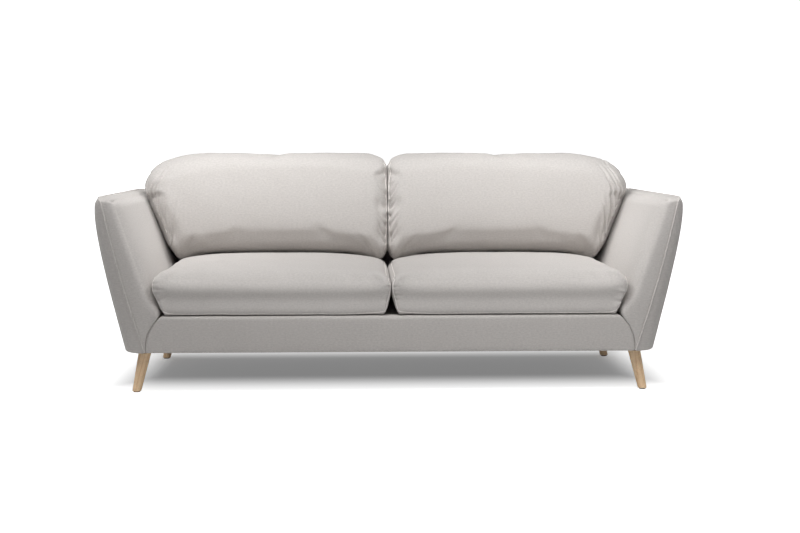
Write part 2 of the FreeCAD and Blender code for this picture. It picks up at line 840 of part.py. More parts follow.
def back_outlines():
    """Front and side outlines of the right back cushion: runs, the crown's middle, runs."""
    front = [(30, 451), (856, 451), (874, 470), (955, 700), (966, 735), (956, 775), (920, 812)]
    front_end = [(60, 834), (20, 814), (6, 780), (6, 485)]
    side = [(322, 452), (322, 500), (385, 716), (396, 788), (368, 834)]
    side_end = [(235, 838), (165, 780), (118, 700), (92, 600), (88, 520), (98, 468), (118, 452)]
    return (front, (480, 850), front_end), (side, (300, 850), side_end)


def crowned_face(outline, to_space, inset):
    """A face whose outline is straight runs and one crowned top arc, moved in by inset."""
    before, crown, after = outline
    first = [to_space(*point) for point in before]
    last = [to_space(*point) for point in after]
    edges = [Part.makeLine(a, b) for a, b in zip(first, first[1:])]
    edges.append(Part.Arc(first[-1], to_space(*crown), last[0]).toShape())
    edges += [Part.makeLine(a, b) for a, b in zip(last, last[1:])]
    edges.append(Part.makeLine(last[-1], first[0]))
    face = Part.Face(Part.Wire(edges))
    return face.makeOffset2D(-inset) if inset else face


def cushion_body(outlines, inset):
    """The common volume of a cushion's front outline and its side outline."""
    front, side = outlines
    across = crowned_face(front, lambda x, z: V(x, -REACH, z), inset).extrude(V(0, 2 * REACH, 0))
    along = crowned_face(side, lambda y, z: V(-REACH, y, z), inset).extrude(V(2 * REACH, 0, 0))
    return across.common(along)


def build_cushion(kind, filling, outlines):
    """One kind of loose cushion, both sides: filling, cover, zip tape and zip slider."""
    name = kind.split("_")[0]
    zip_y, zip_z = dim(name + "_zip_y"), dim(name + "_zip_z")
    core = doc.addObject("Part::Feature", kind + "_core_shape")
    core.Shape = cushion_body(outlines, dim("cushion_skin"))
    whole = doc.addObject("Part::Feature", kind + "_whole_shape")
    whole.Shape = cushion_body(outlines, 0)
    cover = doc.addObject("Part::Cut", kind + "_cover")
    cover.Base, cover.Tool = whole, core
    pair(f"{kind}_{filling}", core)
    pair(f"{kind}_cover", cover)
    tape = doc.addObject("Part::Box", kind + "_zip_tape")
    bind(tape, Length="2 * Dims.zip_half_run", Width="Dims.tape_thickness")
    bind(tape, Height="Dims.tape_width")
    bind(tape, placement_y=f"Dims.{name}_zip_y", placement_z=f"Dims.{name}_zip_z")
    bind(tape, placement_x="Dims.zip_middle_x - Dims.zip_half_run")
    pair(f"{kind}_zip_tape", tape)
    pair(f"{kind}_zip_slider", zip_slider(kind, zip_y, zip_z))


def zip_slider(kind, zip_y, zip_z):
    """The slider's body with its hanging pull tab, at the closed end of the zip."""
    width, depth, height = dim("slider_width"), dim("slider_depth"), dim("slider_height")
    x = dim("zip_middle_x") + dim("zip_half_run") - width - dim("slider_end_gap")
    y = zip_y + dim("tape_thickness") + dim("slider_gap")
    z = zip_z + (dim("tape_width") - height) / 2
    body = Part.makeBox(width, depth, height, V(x, y, z))
    corners = [e for e in body.Edges if abs(e.tangentAt(0).y) > 0.9]
    body = body.makeFillet(SLIDER_ROUNDING, corners)
    hang = V(x + TAB_MARGIN, y + depth - TAB_THICKNESS, z - height + TAB_OVERLAP)
    tab = Part.makeBox(width - 2 * TAB_MARGIN, TAB_THICKNESS, height, hang)
    feature = doc.addObject("Part::Feature", kind + "_zip_slider")
    feature.Shape = body.fuse(tab).removeSplitter()
    return feature


# ---------------------------------------------------------------- build and write


def check_document():
    """Stops on a failed object or a sub-part that isn't a valid solid."""
    for feature in doc.Objects:
        if "Invalid" in feature.State or "Error" in feature.State:
            raise RuntimeError(f"{feature.Name} failed: {feature.State}")
    for feature in subparts:
        shape = feature.Shape
        if shape.isNull() or not shape.isValid() or not shape.Solids or shape.Volume <= 0:
            raise RuntimeError(f"{feature.Label} has no valid solid")


def write_parts():
    """Writes each sub-part to its own STEP file."""
    os.makedirs("parts", exist_ok=True)
    for name in os.listdir("parts"):
        os.remove(os.path.join("parts", name))
    for feature in subparts:
        feature.Shape.exportStep(f"parts/{feature.Label}.step")
        volume = sum(s.Volume for s in feature.Shape.Solids) / 1e6
        print(f"{feature.Label}: {len(feature.Shape.Solids)} solids, {volume:.4f} litres")
    print(len(subparts), "sub-parts")


build_base_frame()
build_back_frame()
build_arm_frames()
build_corner_blocks()
build_springs()
build_back_straps()
build_arm_foam()
build_rail_and_back_foam()
build_arm_covers()
build_rail_and_back_covers()
build_linings()
build_piping()
build_legs()
build_cushion("seat_cushion", "foam", seat_outlines())
build_cushion("back_cushion", "fill", back_outlines())
doc.recompute()
check_document()
write_parts()
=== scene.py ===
import json
import math
import random

import bmesh
import bpy
import numpy as np
from bpy.props import FloatProperty, FloatVectorProperty, IntProperty, PointerProperty
from mathutils import Matrix, Vector, noise


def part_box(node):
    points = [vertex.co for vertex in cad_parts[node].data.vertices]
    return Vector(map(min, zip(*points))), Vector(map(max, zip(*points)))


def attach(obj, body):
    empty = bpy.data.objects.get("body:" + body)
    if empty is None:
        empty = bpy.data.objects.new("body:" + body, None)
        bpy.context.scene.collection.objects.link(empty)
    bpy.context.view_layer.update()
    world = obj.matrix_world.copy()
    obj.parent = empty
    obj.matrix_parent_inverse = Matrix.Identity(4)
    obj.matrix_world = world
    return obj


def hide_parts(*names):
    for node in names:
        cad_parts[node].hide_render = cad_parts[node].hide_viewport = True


bl_info = {
    "name": "Shell Sofa Upholsterer",
    "version": (1, 0, 0),
    "blender": (4, 5, 0),
    "location": "View3D > Sidebar > Sofa",
    "description": "Upholsters a shell sofa, its loose cushions and its legs round a fixed frame",
    "category": "Object",
}

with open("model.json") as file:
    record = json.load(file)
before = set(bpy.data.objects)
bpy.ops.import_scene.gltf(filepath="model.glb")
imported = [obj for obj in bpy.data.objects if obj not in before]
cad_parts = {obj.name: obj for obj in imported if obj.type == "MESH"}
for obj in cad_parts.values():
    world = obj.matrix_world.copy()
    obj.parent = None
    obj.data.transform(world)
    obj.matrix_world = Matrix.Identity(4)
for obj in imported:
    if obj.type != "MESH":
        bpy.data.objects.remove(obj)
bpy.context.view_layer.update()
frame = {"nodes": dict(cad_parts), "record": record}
SIDES = {"left": -1, "right": 1}
ENDS = {"front": -1, "rear": 1}
ARM_LOW, ARM_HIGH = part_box("arm_outer_cover_right")
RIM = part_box("back_outer_cover")[1].z
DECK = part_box("deck_cloth")[1].z
SEAT_LOW, SEAT_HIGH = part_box("seat_cushion_cover_right")
BACK_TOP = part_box("back_cushion_cover_right")[1].z


# ---------------------------------------------------------------- sizes and colours


def metres(name, description, default):
    """A length that shows in the panel in the scene's units."""
    return FloatProperty(
        name=name, description=description, default=default, unit="LENGTH", precision=4
    )


def plain(name, description, default):
    """A plain number that shows in the panel."""
    return FloatProperty(name=name, description=description, default=default, precision=3)


def colour(name, description, default):
    """A colour without alpha."""
    return FloatVectorProperty(
        name=name, description=description, default=default, subtype="COLOR", min=0, max=1
    )


class ShellSizes(bpy.types.PropertyGroup):
    """The upholstered shell: arms, back and front rail."""

    underside: metres("Underside", "Height of the body's underside", ARM_LOW.z)
    deck: metres("Deck", "Height of the seat deck", DECK)
    rim: metres("Rim", "Height of the arms and the back", RIM)
    front: metres("Front", "The front plane of the arms and the rail", ARM_LOW.y)
    foot_half: metres("Foot half-width", "Half-width of the body at its underside", 0.955)
    widest_half: metres("Widest half-width", "Half-width where the arms are widest", ARM_HIGH.x)
    widest_rise: metres("Widest rise", "How far above the underside the arms are widest", 0.4853)
    flare: plain("Flare", "How the arms' outsides curve: 1 is straight, 2 is a parabola", 1.5)
    roll_in: metres("Roll inwards", "How far the arms' outsides turn in at the rim", 0.016)
    roll_height: metres("Roll height", "Height over which the outsides turn in", 0.027)
    piping_half: metres("Piping half-width", "Half-width at the front pipings' feet", ARM_LOW.x)
    piping_slope: plain("Piping slope", "Outward lean of the front piping", 0.336)
    piping_bow: plain("Piping bow", "Curve of the front piping, per metre", 0.13)
    inner_half: metres("Inner half-width", "Half-width between the arms at the deck", 0.8135)
    inner_slope: plain("Inner slope", "Outward lean of the arms' inner faces", 0.364)
    seam_turn: plain("Seam turn", "How sharply the rail's end seam turns outwards", 2.6)
    corner_low: metres("Corner depth, foot", "Depth of the arm's rounded front corner", 0.100)
    corner_high: metres("Corner depth, top", "Depth of the arm's rounded front corner", 0.200)
    corner_rise: metres("Corner rise", "Height over which the corner deepens", 0.300)
    outer_back: metres("Outer back", "The outside back at the underside", 0.3567)
    outer_lean: plain("Outer lean", "Backward lean of the outside back", 0.1983)
    inner_back: metres("Inner back", "The inside back at the deck", 0.290)
    inner_lean: plain("Inner lean", "Backward lean of the inside back", 0.237)
    corner_soft: metres("Corner softness", "Reach of the rim's rounded front corner", 0.026)
    corner_fall: metres("Corner fall", "How far the rim sinks at its front corner", 0.009)
    inner_edge: metres("Inner edge", "Softness of the arm's inner front edge", 0.078)
    flush_edge: metres("Flush edge", "How far a cover rolls into a flat seam", 0.0035)
    seam_edge: metres("Seam edge", "How far a cover rolls into a piped seam", 0.007)
    top_edge: metres("Top edge", "Softness of the rim's inner edge", 0.032)
    hem_edge: metres("Hem edge", "Softness of the lower edge", 0.006)
    padding: metres("Padding", "How far the middle of a padded panel stands out", 0.005)
    cover: metres("Cover", "Thickness of a fixed cover with its wadding", 0.004)
    piping: metres("Piping", "Radius of the covered piping cord", 0.0036)


class CushionSizes(bpy.types.PropertyGroup):
    """The loose cushions."""

    gap: metres("Gap", "Half of the gap between neighbouring cushions", 0.0025)
    seat_front: metres("Seat front", "Front of the seat cushions", SEAT_LOW.y)
    seat_rear: metres("Seat rear", "Rear of the seat cushions", SEAT_HIGH.y)
    seat_low: metres("Seat low", "Underside of the seat cushions", SEAT_LOW.z)
    seat_edge: metres("Seat edge", "Height of the seat cushions' edge", 0.408)
    seat_crown: metres("Seat crown", "Rise of the seat cushions' middle above their edge", 0.034)
    seat_hang: metres("Seat hang", "Lowest that a back cushion's corner hangs", 0.416)
    seat_half: metres("Seat half-width", "Outer end of the seat cushions", 0.848)
    back_low: metres("Back low", "Underside of the back cushions", 0.436)
    back_high: metres("Back high", "Top of the back cushions", BACK_TOP)
    seam: metres("Seam", "Radius of the sewn seam's ridge", 0.0021)
    pressure: plain("Filling pressure", "Pressure of the filling in the cloth simulation", 4.0)
    steps: IntProperty(name="Steps", description="Steps of the cloth simulation", default=20)
    end_pull: plain("End pull", "Share of the ends' inward pull that is kept", 0.2)
    give: metres("Give", "The most that the filling may move the cloth", 0.016)


class Finish(bpy.types.PropertyGroup):
    """Colours of the visible finishes."""

    cloth: colour("Cloth", "Upholstery fabric", (0.560, 0.533, 0.512))
    oak: colour("Oak", "Oiled oak of the legs", (0.990, 0.720, 0.460))
    oak_dark: colour("Oak grain", "Dark grain lines of the oak", (0.840, 0.540, 0.300))
    floor: colour("Floor", "Studio floor", (0.72, 0.72, 0.72))


# ---------------------------------------------------------------- the shell's outline


ROLL_POWER = 2.2
FLAT_BESIDE_SEAT = 0.10
CORNER_SINKS = Vector((-0.1, 0.1, -1))


def clamp(share):
    return min(1, max(0, share))


class Shell:
    """The outline of the shell, worked out from its sizes; every function takes a height."""

    def __init__(self, sizes):
        for key in ShellSizes.__annotations__:
            setattr(self, key, getattr(sizes, key))

    def piping_x(self, z):
        rise = z - self.underside
        return self.piping_half + self.piping_slope * rise - self.piping_bow * rise**2

    def outer_x(self, z):
        share = (z - self.underside) / self.widest_rise
        bulge = self.widest_half - self.foot_half
        roll = clamp(1 - (self.rim - z) / self.roll_height)
        flared = self.foot_half + bulge * (1 - abs(1 - share) ** self.flare)
        return flared - self.roll_in * roll**ROLL_POWER

    def inner_x(self, z):
        if z >= self.deck:
            return self.inner_half + self.inner_slope * (z - self.deck)
        drop = (self.deck - z) / (self.deck - self.underside)
        reach = self.piping_half - self.inner_half
        return self.inner_half + reach * (1 - (1 - min(1, drop)) ** self.seam_turn)

    def inner_pad(self, z):
        """How far the arm's inner padding stands out; it lies flat beside the seat cushions."""
        return self.padding * clamp((z - self.deck - FLAT_BESIDE_SEAT) * 8)

    def corner_drop(self, point):
        """How far the covers and the piping sink at the rim's rounded front corner."""
        corner = Vector((self.piping_x(self.rim), self.front, self.rim))
        near = math.exp(-(((point - corner).length / self.corner_soft) ** 2))
        return CORNER_SINKS * self.corner_fall * near

    def corner_depth(self, z):
        share = min(1.0, (z - self.underside) / self.corner_rise)
        return self.corner_low + (self.corner_high - self.corner_low) * (2 * share - share**2)

    def back_y(self, z):
        return self.outer_back + self.outer_lean * (z - self.underside)

    def inside_y(self, z):
        return self.inner_back + self.inner_lean * (z - self.deck)

    def outer_point(self, along, z):
        """A point on the right arm's outside; along runs from 0 at the front to 1 at the back."""
        length = self.back_y(z) - self.front
        depth = self.corner_depth(z)
        travel = along * length
        if travel < depth:
            turn = travel / depth * math.pi / 2
            reach = self.outer_x(z) - self.piping_x(z)
            x = self.piping_x(z) + reach * math.sin(turn)
            return Vector((x, self.front + depth * (1 - math.cos(turn)), z))
        return Vector((self.outer_x(z), self.front + travel, z))

    def inner_point(self, along, z):
        """A point on the inner face of the right arm."""
        return Vector((self.inner_x(z), self.front + along * (self.back_y(z) - self.front), z))


# ---------------------------------------------------------------- modelling helpers


def spread(share, ends):
    """Moves evenly spaced shares towards both ends, so that cells there are finer."""
    return share - ends * math.sin(2 * math.pi * share) / (2 * math.pi)


def soften(point, size, radii):
    """Rounds a box's edges and corners: point is a point of its surface.

    radii holds a pair for each axis, for its low end and its high end.
    """
    moved = Vector(point)
    offset = Vector((0, 0, 0))
    for axis in range(3):
        low, high = radii[axis]
        if point[axis] < low:
            moved[axis] = low
            offset[axis] = (point[axis] - low) / low
        elif point[axis] > size[axis] - high:
            moved[axis] = size[axis] - high
            offset[axis] = (point[axis] - moved[axis]) / high
    if offset.length < 1e-9:
        return Vector(point)
    offset.normalize()
    for axis in range(3):
        low, high = radii[axis]
        moved[axis] += offset[axis] * (low if offset[axis] < 0 else high)
    return moved


def rounded(share, size, radii):
    """A surface point of the unit block after its edges are rounded, as shares of the size."""
    point = soften([share[i] * size[i] for i in range(3)], size, radii)
    return Vector([point[i] / size[i] for i in range(3)])


def block(cells, ends):
    """A unit block cut into cells along each axis, finer towards both ends."""
    bm = bmesh.new()
    bmesh.ops.create_cube(bm, size=1, matrix=Matrix.Translation((0.5, 0.5, 0.5)))
    for axis in range(3):
        along = [e for e in bm.edges if abs((e.verts[0].co - e.verts[1].co)[axis]) > 0.5]
        bmesh.ops.subdivide_edges(bm, edges=along, cuts=cells[axis] - 1, use_grid_fill=True)
    place = bm.verts.layers.float_vector.new("place")
    for vert in bm.verts:
        vert.co = [spread(share, bias) for share, bias in zip(vert.co, ends)]
        vert[place] = vert.co
    return bm


PANELS = ("inner", "outer", "front", "rear", "bottom", "top")
ON_EDGE, ON_SEAM = 1e-6, 1e-5


def panel_of(face, place):
    """Which of a block's six panels a face belongs to, from its vertices' places."""
    middle = sum((v[place] for v in face.verts), Vector((0, 0, 0))) / len(face.verts)
    for axis in range(3):
        if middle[axis] < ON_EDGE:
            return PANELS[2 * axis]
        if middle[axis] > 1 - ON_EDGE:
            return PANELS[2 * axis + 1]
    raise RuntimeError("a face of a block lies on none of its panels")


def lay_cloth(bm):
    """Gives each panel a UV map in metres, so that the weave keeps its scale and direction."""
    place = bm.verts.layers.float_vector["place"]
    cloth = bm.loops.layers.uv.new("cloth")
    for face in bm.faces:
        normal_axis = PANELS.index(panel_of(face, place)) // 2
        across, up = (axis for axis in range(3) if axis != normal_axis)
        for loop in face.loops:
            loop[cloth].uv = (loop.vert.co[across], loop.vert.co[up])


def keep_panels(bm, names):
    """Deletes the faces of every other panel."""
    place = bm.verts.layers.float_vector["place"]
    others = [f for f in bm.faces if panel_of(f, place) not in names]
    bmesh.ops.delete(bm, geom=others, context="FACES")


def smooth_object(name, mesh, material):
    """A smooth-shaded object of one material that sits at the origin."""
    for polygon in mesh.polygons:
        polygon.use_smooth = True
    mesh.materials.clear()
    mesh.materials.append(material)
    obj = bpy.data.objects.new(name, mesh)
    bpy.context.scene.collection.objects.link(obj)
    return obj


def finish_mesh(bm, name, material):
    """Turns a bmesh into an object."""
    bmesh.ops.recalc_face_normals(bm, faces=bm.faces)
    mesh = bpy.data.meshes.new(name)
    bm.to_mesh(mesh)
    bm.free()
    return smooth_object(name, mesh, material)


def subdivided(obj, levels):
    """A live Subdivision Surface."""
    modifier = obj.modifiers.new("Smooth", "SUBSURF")
    modifier.levels = modifier.render_levels = levels
    return obj


def baked(obj):
    """Applies every modifier of an object to its mesh."""
    graph = bpy.context.evaluated_depsgraph_get()
    mesh = bpy.data.meshes.new_from_object(obj.evaluated_get(graph))
    obj.modifiers.clear()
    old, obj.data = obj.data, mesh
    bpy.data.meshes.remove(old)
    return obj


def ripple(point, size, depth, seed):
    """A slow unevenness, as cloth over wadding has."""
    return depth * noise.noise(Vector(point) / size + Vector((seed, seed * 0.37, 0)))


def smooth_step(share):
    """0 below 0, 1 above 1 and a soft rise between them."""
    share = clamp(share)
    return share * share * (3 - 2 * share)


def dome(share):
    """1 in the middle of a panel and 0 at its edges."""
    return 1 - (2 * clamp(share) - 1) ** 4


# ---------------------------------------------------------------- material helpers


class Nodes:
    """Adds and links the nodes of a material or a group."""

    def __init__(self, tree):
        self.tree = tree

    def feed(self, socket, value):
        """Links a socket to another one, or sets it to a constant."""
        if isinstance(value, bpy.types.NodeSocket):
            self.tree.links.new(value, socket)
        else:
            socket.default_value = value

    def add(self, kind, values=None, **settings):
        node = self.tree.nodes.new(kind)
        for key, value in settings.items():
            setattr(node, key, value)
        for key, value in (values or {}).items():
            self.feed(node.inputs[key], value)
        return node

    def math(self, operation, *values):
        node = self.add("ShaderNodeMath", dict(enumerate(values)), operation=operation)
        return node.outputs[0]

    def scaled(self, vector, factors):
        values = {0: vector, 1: factors}
        return self.add("ShaderNodeVectorMath", values, operation="MULTIPLY").outputs[0]

    def mix(self, share, first, second, blend="MIX"):
        """Mixes two colours; plain colours have no alpha."""
        node = self.add("ShaderNodeMix", data_type="RGBA", blend_type=blend)
        sockets = {socket.identifier: socket for socket in node.inputs}
        self.feed(sockets["Factor_Float"], share)
        for name, value in (("A_Color", first), ("B_Color", second)):
            plain_colour = not isinstance(value, bpy.types.NodeSocket)
            self.feed(sockets[name], (*value, 1) if plain_colour else value)
        return next(s for s in node.outputs if s.identifier == "Result_Color")

    def ramp(self, value, low, high, out_low=0.0, out_high=1.0):
        """A soft rise from one value to another between two limits."""
        limits = {"From Min": low, "From Max": high, "To Min": out_low, "To Max": out_high}
        node = self.add(
            "ShaderNodeMapRange", {"Value": value, **limits}, interpolation_type="SMOOTHSTEP"
        )
        return node.outputs["Result"]

    def noise(self, vector, scale, detail=3.0, rough=0.55):
        values = {"Vector": vector, "Scale": scale, "Detail": detail, "Roughness": rough}
        return self.add("ShaderNodeTexNoise", values).outputs["Fac"]


def new_group(name, inputs, outputs):
    """An empty shader node group with float inputs and outputs, and a vector input.

    Gives its nodes, its input node and the sockets of its output node.
    """
    group = bpy.data.node_groups.new(name, "ShaderNodeTree")
    group.interface.new_socket("Vector", in_out="INPUT", socket_type="NodeSocketVector")
    for key, default in inputs.items():
        socket = group.interface.new_socket(key, in_out="INPUT", socket_type="NodeSocketFloat")
        socket.default_value = default
    for key in outputs:
        group.interface.new_socket(key, in_out="OUTPUT", socket_type="NodeSocketFloat")
    nodes = Nodes(group)
    return nodes, nodes.add("NodeGroupInput"), nodes.add("NodeGroupOutput").inputs


def weave_group():
    """Plain weave: Shade is a brightness factor round 1 and Height is the threads' relief."""
    inputs = {"Threads": 900.0, "Slub": 0.06, "Mottle": 0.04}
    nodes, given, result = new_group("Plain weave", inputs, ("Shade", "Height"))
    vector = given.outputs["Vector"]
    wobble = nodes.noise(vector, 60.0, 2.0)
    parts = nodes.add("ShaderNodeSeparateXYZ", {"Vector": vector})
    waves = []
    for axis in "XY":
        turns = nodes.math("MULTIPLY", parts.outputs[axis], given.outputs["Threads"])
        bent = nodes.math("MULTIPLY_ADD", wobble, 2.2, turns)
        waves.append(nodes.math("SINE", nodes.math("MULTIPLY", bent, math.pi)))
    crossing = nodes.math("MULTIPLY", waves[0], waves[1])
    threads = nodes.math("MULTIPLY_ADD", crossing, 0.5, 0.5)
    weft = nodes.noise(nodes.scaled(vector, (105.0, 230.0, 105.0)), 1.0, 2.0, 0.6)
    warp = nodes.noise(nodes.scaled(vector, (420.0, 90.0, 90.0)), 1.0, 2.0, 0.6)
    cloud = nodes.noise(vector, 7.0, 4.0, 0.6)
    across = nodes.math("SUBTRACT", weft, 0.5)
    along = nodes.math("MULTIPLY", nodes.math("SUBTRACT", warp, 0.5), 0.5)
    streak = nodes.math("MULTIPLY_ADD", across, 1.0, along)
    shade = nodes.math("MULTIPLY_ADD", streak, given.outputs["Slub"], 1.0)
    patch = nodes.math("MULTIPLY", nodes.math("SUBTRACT", cloud, 0.5), given.outputs["Mottle"])
    shade = nodes.math("ADD", shade, patch)
    shade = nodes.math("MULTIPLY_ADD", nodes.math("SUBTRACT", threads, 0.5), 0.05, shade)
    height = nodes.math("MULTIPLY_ADD", streak, 0.8, threads)
    nodes.feed(result["Shade"], shade)
    nodes.feed(result["Height"], height)
    return nodes.tree


def grain_group():
    """Timber grain that runs along Z: Grain is 1 on dark lines, Pore is 1 on open pores."""
    inputs = {"Rings": 70.0, "Wander": 0.5}
    nodes, given, result = new_group("Timber grain", inputs, ("Grain", "Pore", "Height"))
    vector = given.outputs["Vector"]
    bend = nodes.noise(nodes.scaled(vector, (9.0, 9.0, 2.2)), 1.0, 3.0)
    parts = nodes.add("ShaderNodeSeparateXYZ", {"Vector": vector})
    slope = nodes.math("MULTIPLY_ADD", parts.outputs["Y"], 0.6, parts.outputs["X"])
    wander = nodes.math("MULTIPLY", bend, given.outputs["Wander"])
    shifted = nodes.math("MULTIPLY_ADD", wander, 0.12, slope)
    turns = nodes.math("MULTIPLY", given.outputs["Rings"], 6.2832)
    wave = nodes.math("SINE", nodes.math("MULTIPLY", shifted, turns))
    lines = nodes.ramp(wave, 0.1, 0.95)
    fibre = nodes.noise(nodes.scaled(vector, (900.0, 900.0, 22.0)), 1.0, 3.0, 0.6)
    flecks = nodes.noise(nodes.scaled(vector, (1500.0, 1500.0, 60.0)), 1.0, 1.0)
    pores = nodes.ramp(flecks, 0.60, 0.72)
    grain = nodes.math("MULTIPLY", lines, nodes.ramp(fibre, 0.25, 0.7))
    height = nodes.math("MULTIPLY_ADD", fibre, 0.4, nodes.math("MULTIPLY", pores, -1.0))
    for key, value in (("Grain", grain), ("Pore", pores), ("Height", height)):
        nodes.feed(result[key], value)
    return nodes.tree


def speckle_group():
    """Fine dust and scuffs: Mask is 1 where the surface is dusty or rubbed."""
    nodes, given, result = new_group("Dust and scuffs", {"Size": 300.0}, ("Mask",))
    fine = nodes.noise(given.outputs["Vector"], given.outputs["Size"], 4.0, 0.7)
    broad = nodes.noise(given.outputs["Vector"], 12.0, 3.0)
    mask = nodes.math("MULTIPLY", nodes.ramp(fine, 0.45, 0.75), nodes.ramp(broad, 0.3, 0.7))
    nodes.feed(result["Mask"], mask)
    return nodes.tree


GROUPS = {}


def use_group(nodes, maker, vector, **values):
    """The outputs of a shared group, which is built the first time that it is asked for."""
    if maker not in GROUPS:
        GROUPS[maker] = maker()
    sockets = {"Vector": vector, **values}
    return nodes.add("ShaderNodeGroup", sockets, node_tree=GROUPS[maker]).outputs


def new_material(name, roughness, **constants):
    """A material with a bare Principled shader, whose constants are set on its own sockets."""
    material = bpy.data.materials.new(name)
    material.use_nodes = True
    nodes = Nodes(material.node_tree)
    shader = material.node_tree.nodes["Principled BSDF"]
    shader.inputs["Roughness"].default_value = roughness
    for key, value in constants.items():
        shader.inputs[key.replace("_", " ")].default_value = value
    return material, nodes, shader


def bump(nodes, shader, height, distance, strength):
    """Feeds a height to the shader's normal."""
    values = {"Height": height, "Distance": distance, "Strength": strength}
    nodes.feed(shader.inputs["Normal"], nodes.add("ShaderNodeBump", values).outputs["Normal"])


def tinted(nodes, base, factor):
    """A base colour made lighter or darker by a factor round 1."""
    grey = nodes.add("ShaderNodeCombineXYZ", {"X": factor, "Y": factor, "Z": factor})
    return nodes.mix(1.0, base, grey.outputs[0], "MULTIPLY")


def own_place(nodes):
    """The piece's own coordinates."""
    return nodes.add("ShaderNodeTexCoord").outputs["Object"]


WEAVE_RELIEF = 0.00035


def cloth_material(name, base, threads=900.0, slub=0.38, mottle=0.06, on_map=True):
    """Woven cloth. It follows the piece's cloth map, or else its own coordinates."""
    material, nodes, shader = new_material(name, 0.92, Sheen_Weight=0.22, Sheen_Roughness=0.45)
    shader.inputs["Specular IOR Level"].default_value = 0.18
    shader.inputs["Sheen Tint"].default_value = (1.0, 0.985, 0.97, 1)
    if on_map:
        vector = nodes.add("ShaderNodeUVMap", uv_map="cloth").outputs["UV"]
    else:
        vector = own_place(nodes)
    weave = use_group(nodes, weave_group, vector, Threads=threads, Slub=slub, Mottle=mottle)
    nodes.feed(shader.inputs["Base Color"], tinted(nodes, base, weave["Shade"]))
    bump(nodes, shader, weave["Height"], WEAVE_RELIEF, 0.6)
    return material


def timber_material(name, light, dark, rings, tilt=(0, 0, 0), centre=(0, 0, 0), gloss=0.55):
    """Timber whose grain runs along Z, turned by tilt about a centre."""
    material, nodes, shader = new_material(name, gloss)
    shader.inputs["Specular IOR Level"].default_value = 0.4
    values = {"Vector": own_place(nodes), "Location": centre, "Rotation": tilt}
    along = nodes.add("ShaderNodeMapping", values, vector_type="TEXTURE").outputs[0]
    grain = use_group(nodes, grain_group, along, Rings=rings)
    toned = nodes.mix(grain["Grain"], light, dark)
    pore_share = nodes.math("MULTIPLY", grain["Pore"], 0.55)
    pored = nodes.mix(pore_share, toned, [c * 0.5 for c in dark])
    broad = nodes.ramp(nodes.noise(along, 26.0), 0.2, 0.8, 0.90, 1.08)
    nodes.feed(shader.inputs["Base Color"], tinted(nodes, pored, broad))
    rough = nodes.ramp(grain["Pore"], 0.0, 1.0, gloss - 0.08, gloss + 0.2)
    nodes.feed(shader.inputs["Roughness"], rough)
    bump(nodes, shader, grain["Height"], 0.0002, 0.5)
    return material


def metal_material(name, base, roughness):
    """Plated or drawn steel with a little dust."""
    material, nodes, shader = new_material(name, roughness, Metallic=1.0)
    own = own_place(nodes)
    dust = use_group(nodes, speckle_group, own, Size=500.0)["Mask"]
    nodes.feed(shader.inputs["Base Color"], nodes.mix(dust, base, [c * 0.6 for c in base]))
    rough = nodes.ramp(dust, 0.0, 1.0, roughness, min(1.0, roughness + 0.3))
    nodes.feed(shader.inputs["Roughness"], rough)
    bump(nodes, shader, nodes.noise(own, 900.0), 0.00005, 0.4)
    return material


def plastic_material(name, base, roughness=0.5):
    """Moulded plastic with a fine grained skin."""
    material, nodes, shader = new_material(name, roughness)
    own = own_place(nodes)
    dust = use_group(nodes, speckle_group, own, Size=400.0)["Mask"]
    pale = [min(1, c * 1.5 + 0.03) for c in base]
    nodes.feed(shader.inputs["Base Color"], nodes.mix(dust, base, pale))
    bump(nodes, shader, nodes.noise(own, 2500.0), 0.00005, 0.5)
    return material


# ---------------------------------------------------------------- fixed covers


def scene_shell():
    return Shell(bpy.context.scene.sofa_shell)


def upholstery():
    """The upholstery fabric, made the first time that it is asked for."""
    found = bpy.data.materials.get("upholstery_cloth")
    return found or cloth_material("upholstery_cloth", bpy.context.scene.sofa_finish.cloth[:])


ARM_CELLS = (12, 40, 40)
ARM_SPREAD = (0.5, 0.45, 0.75)
ARM_WIDTH = 0.097
TIGHT = 0.004


def arm_block(shell, side):
    """The whole arm as one closed block, rounded, leaned and padded."""
    bm = block(ARM_CELLS, ARM_SPREAD)
    size = Vector((ARM_WIDTH, shell.back_y(shell.rim) - shell.front, shell.rim - shell.underside))
    deck_share = (shell.deck - shell.underside) / size.z
    for vert in bm.verts:
        share = Vector(vert.co)
        above_deck = smooth_step((share.z - deck_share + 0.01) / 0.14)
        inner_edge = shell.flush_edge + (shell.inner_edge - shell.flush_edge) * above_deck
        front_edge = inner_edge + (shell.seam_edge - inner_edge) * share.x**0.6
        top_edge = shell.top_edge + (shell.seam_edge - shell.top_edge) * share.x**0.6
        across = (inner_edge * 0.85, shell.seam_edge * 0.35)
        radii = (across, (front_edge, TIGHT), (shell.hem_edge, top_edge))
        at = rounded(share, size, radii)
        z = shell.underside + at.z * size.z
        placed = shell.inner_point(at.y, z).lerp(shell.outer_point(at.y, z), at.x)
        cushion = shell.padding
        if share.x < ON_EDGE:
            placed.x -= shell.inner_pad(z) * dome(share.y) * dome(share.z)
        elif share.y < ON_EDGE:
            placed.y -= cushion * 0.8 * dome(share.x) * dome(share.z)
        elif share.z > 1 - ON_EDGE:
            placed.z += cushion * 0.8 * dome(share.x) * dome(share.y)
        elif share.x > 1 - ON_EDGE:
            placed.x += cushion * 0.5 * dome(share.y) * dome(share.z)
        placed.x += ripple(placed, 0.16, 0.0012, 3 + side)
        if share.y < ON_EDGE:
            placed.y += ripple(placed, 0.10, 0.0010, 7 + side)
        placed += shell.corner_drop(placed)
        vert.co = (placed.x * side, placed.y, placed.z)
    if side < 0:
        bmesh.ops.reverse_faces(bm, faces=bm.faces)
    lay_cloth(bm)
    return bm


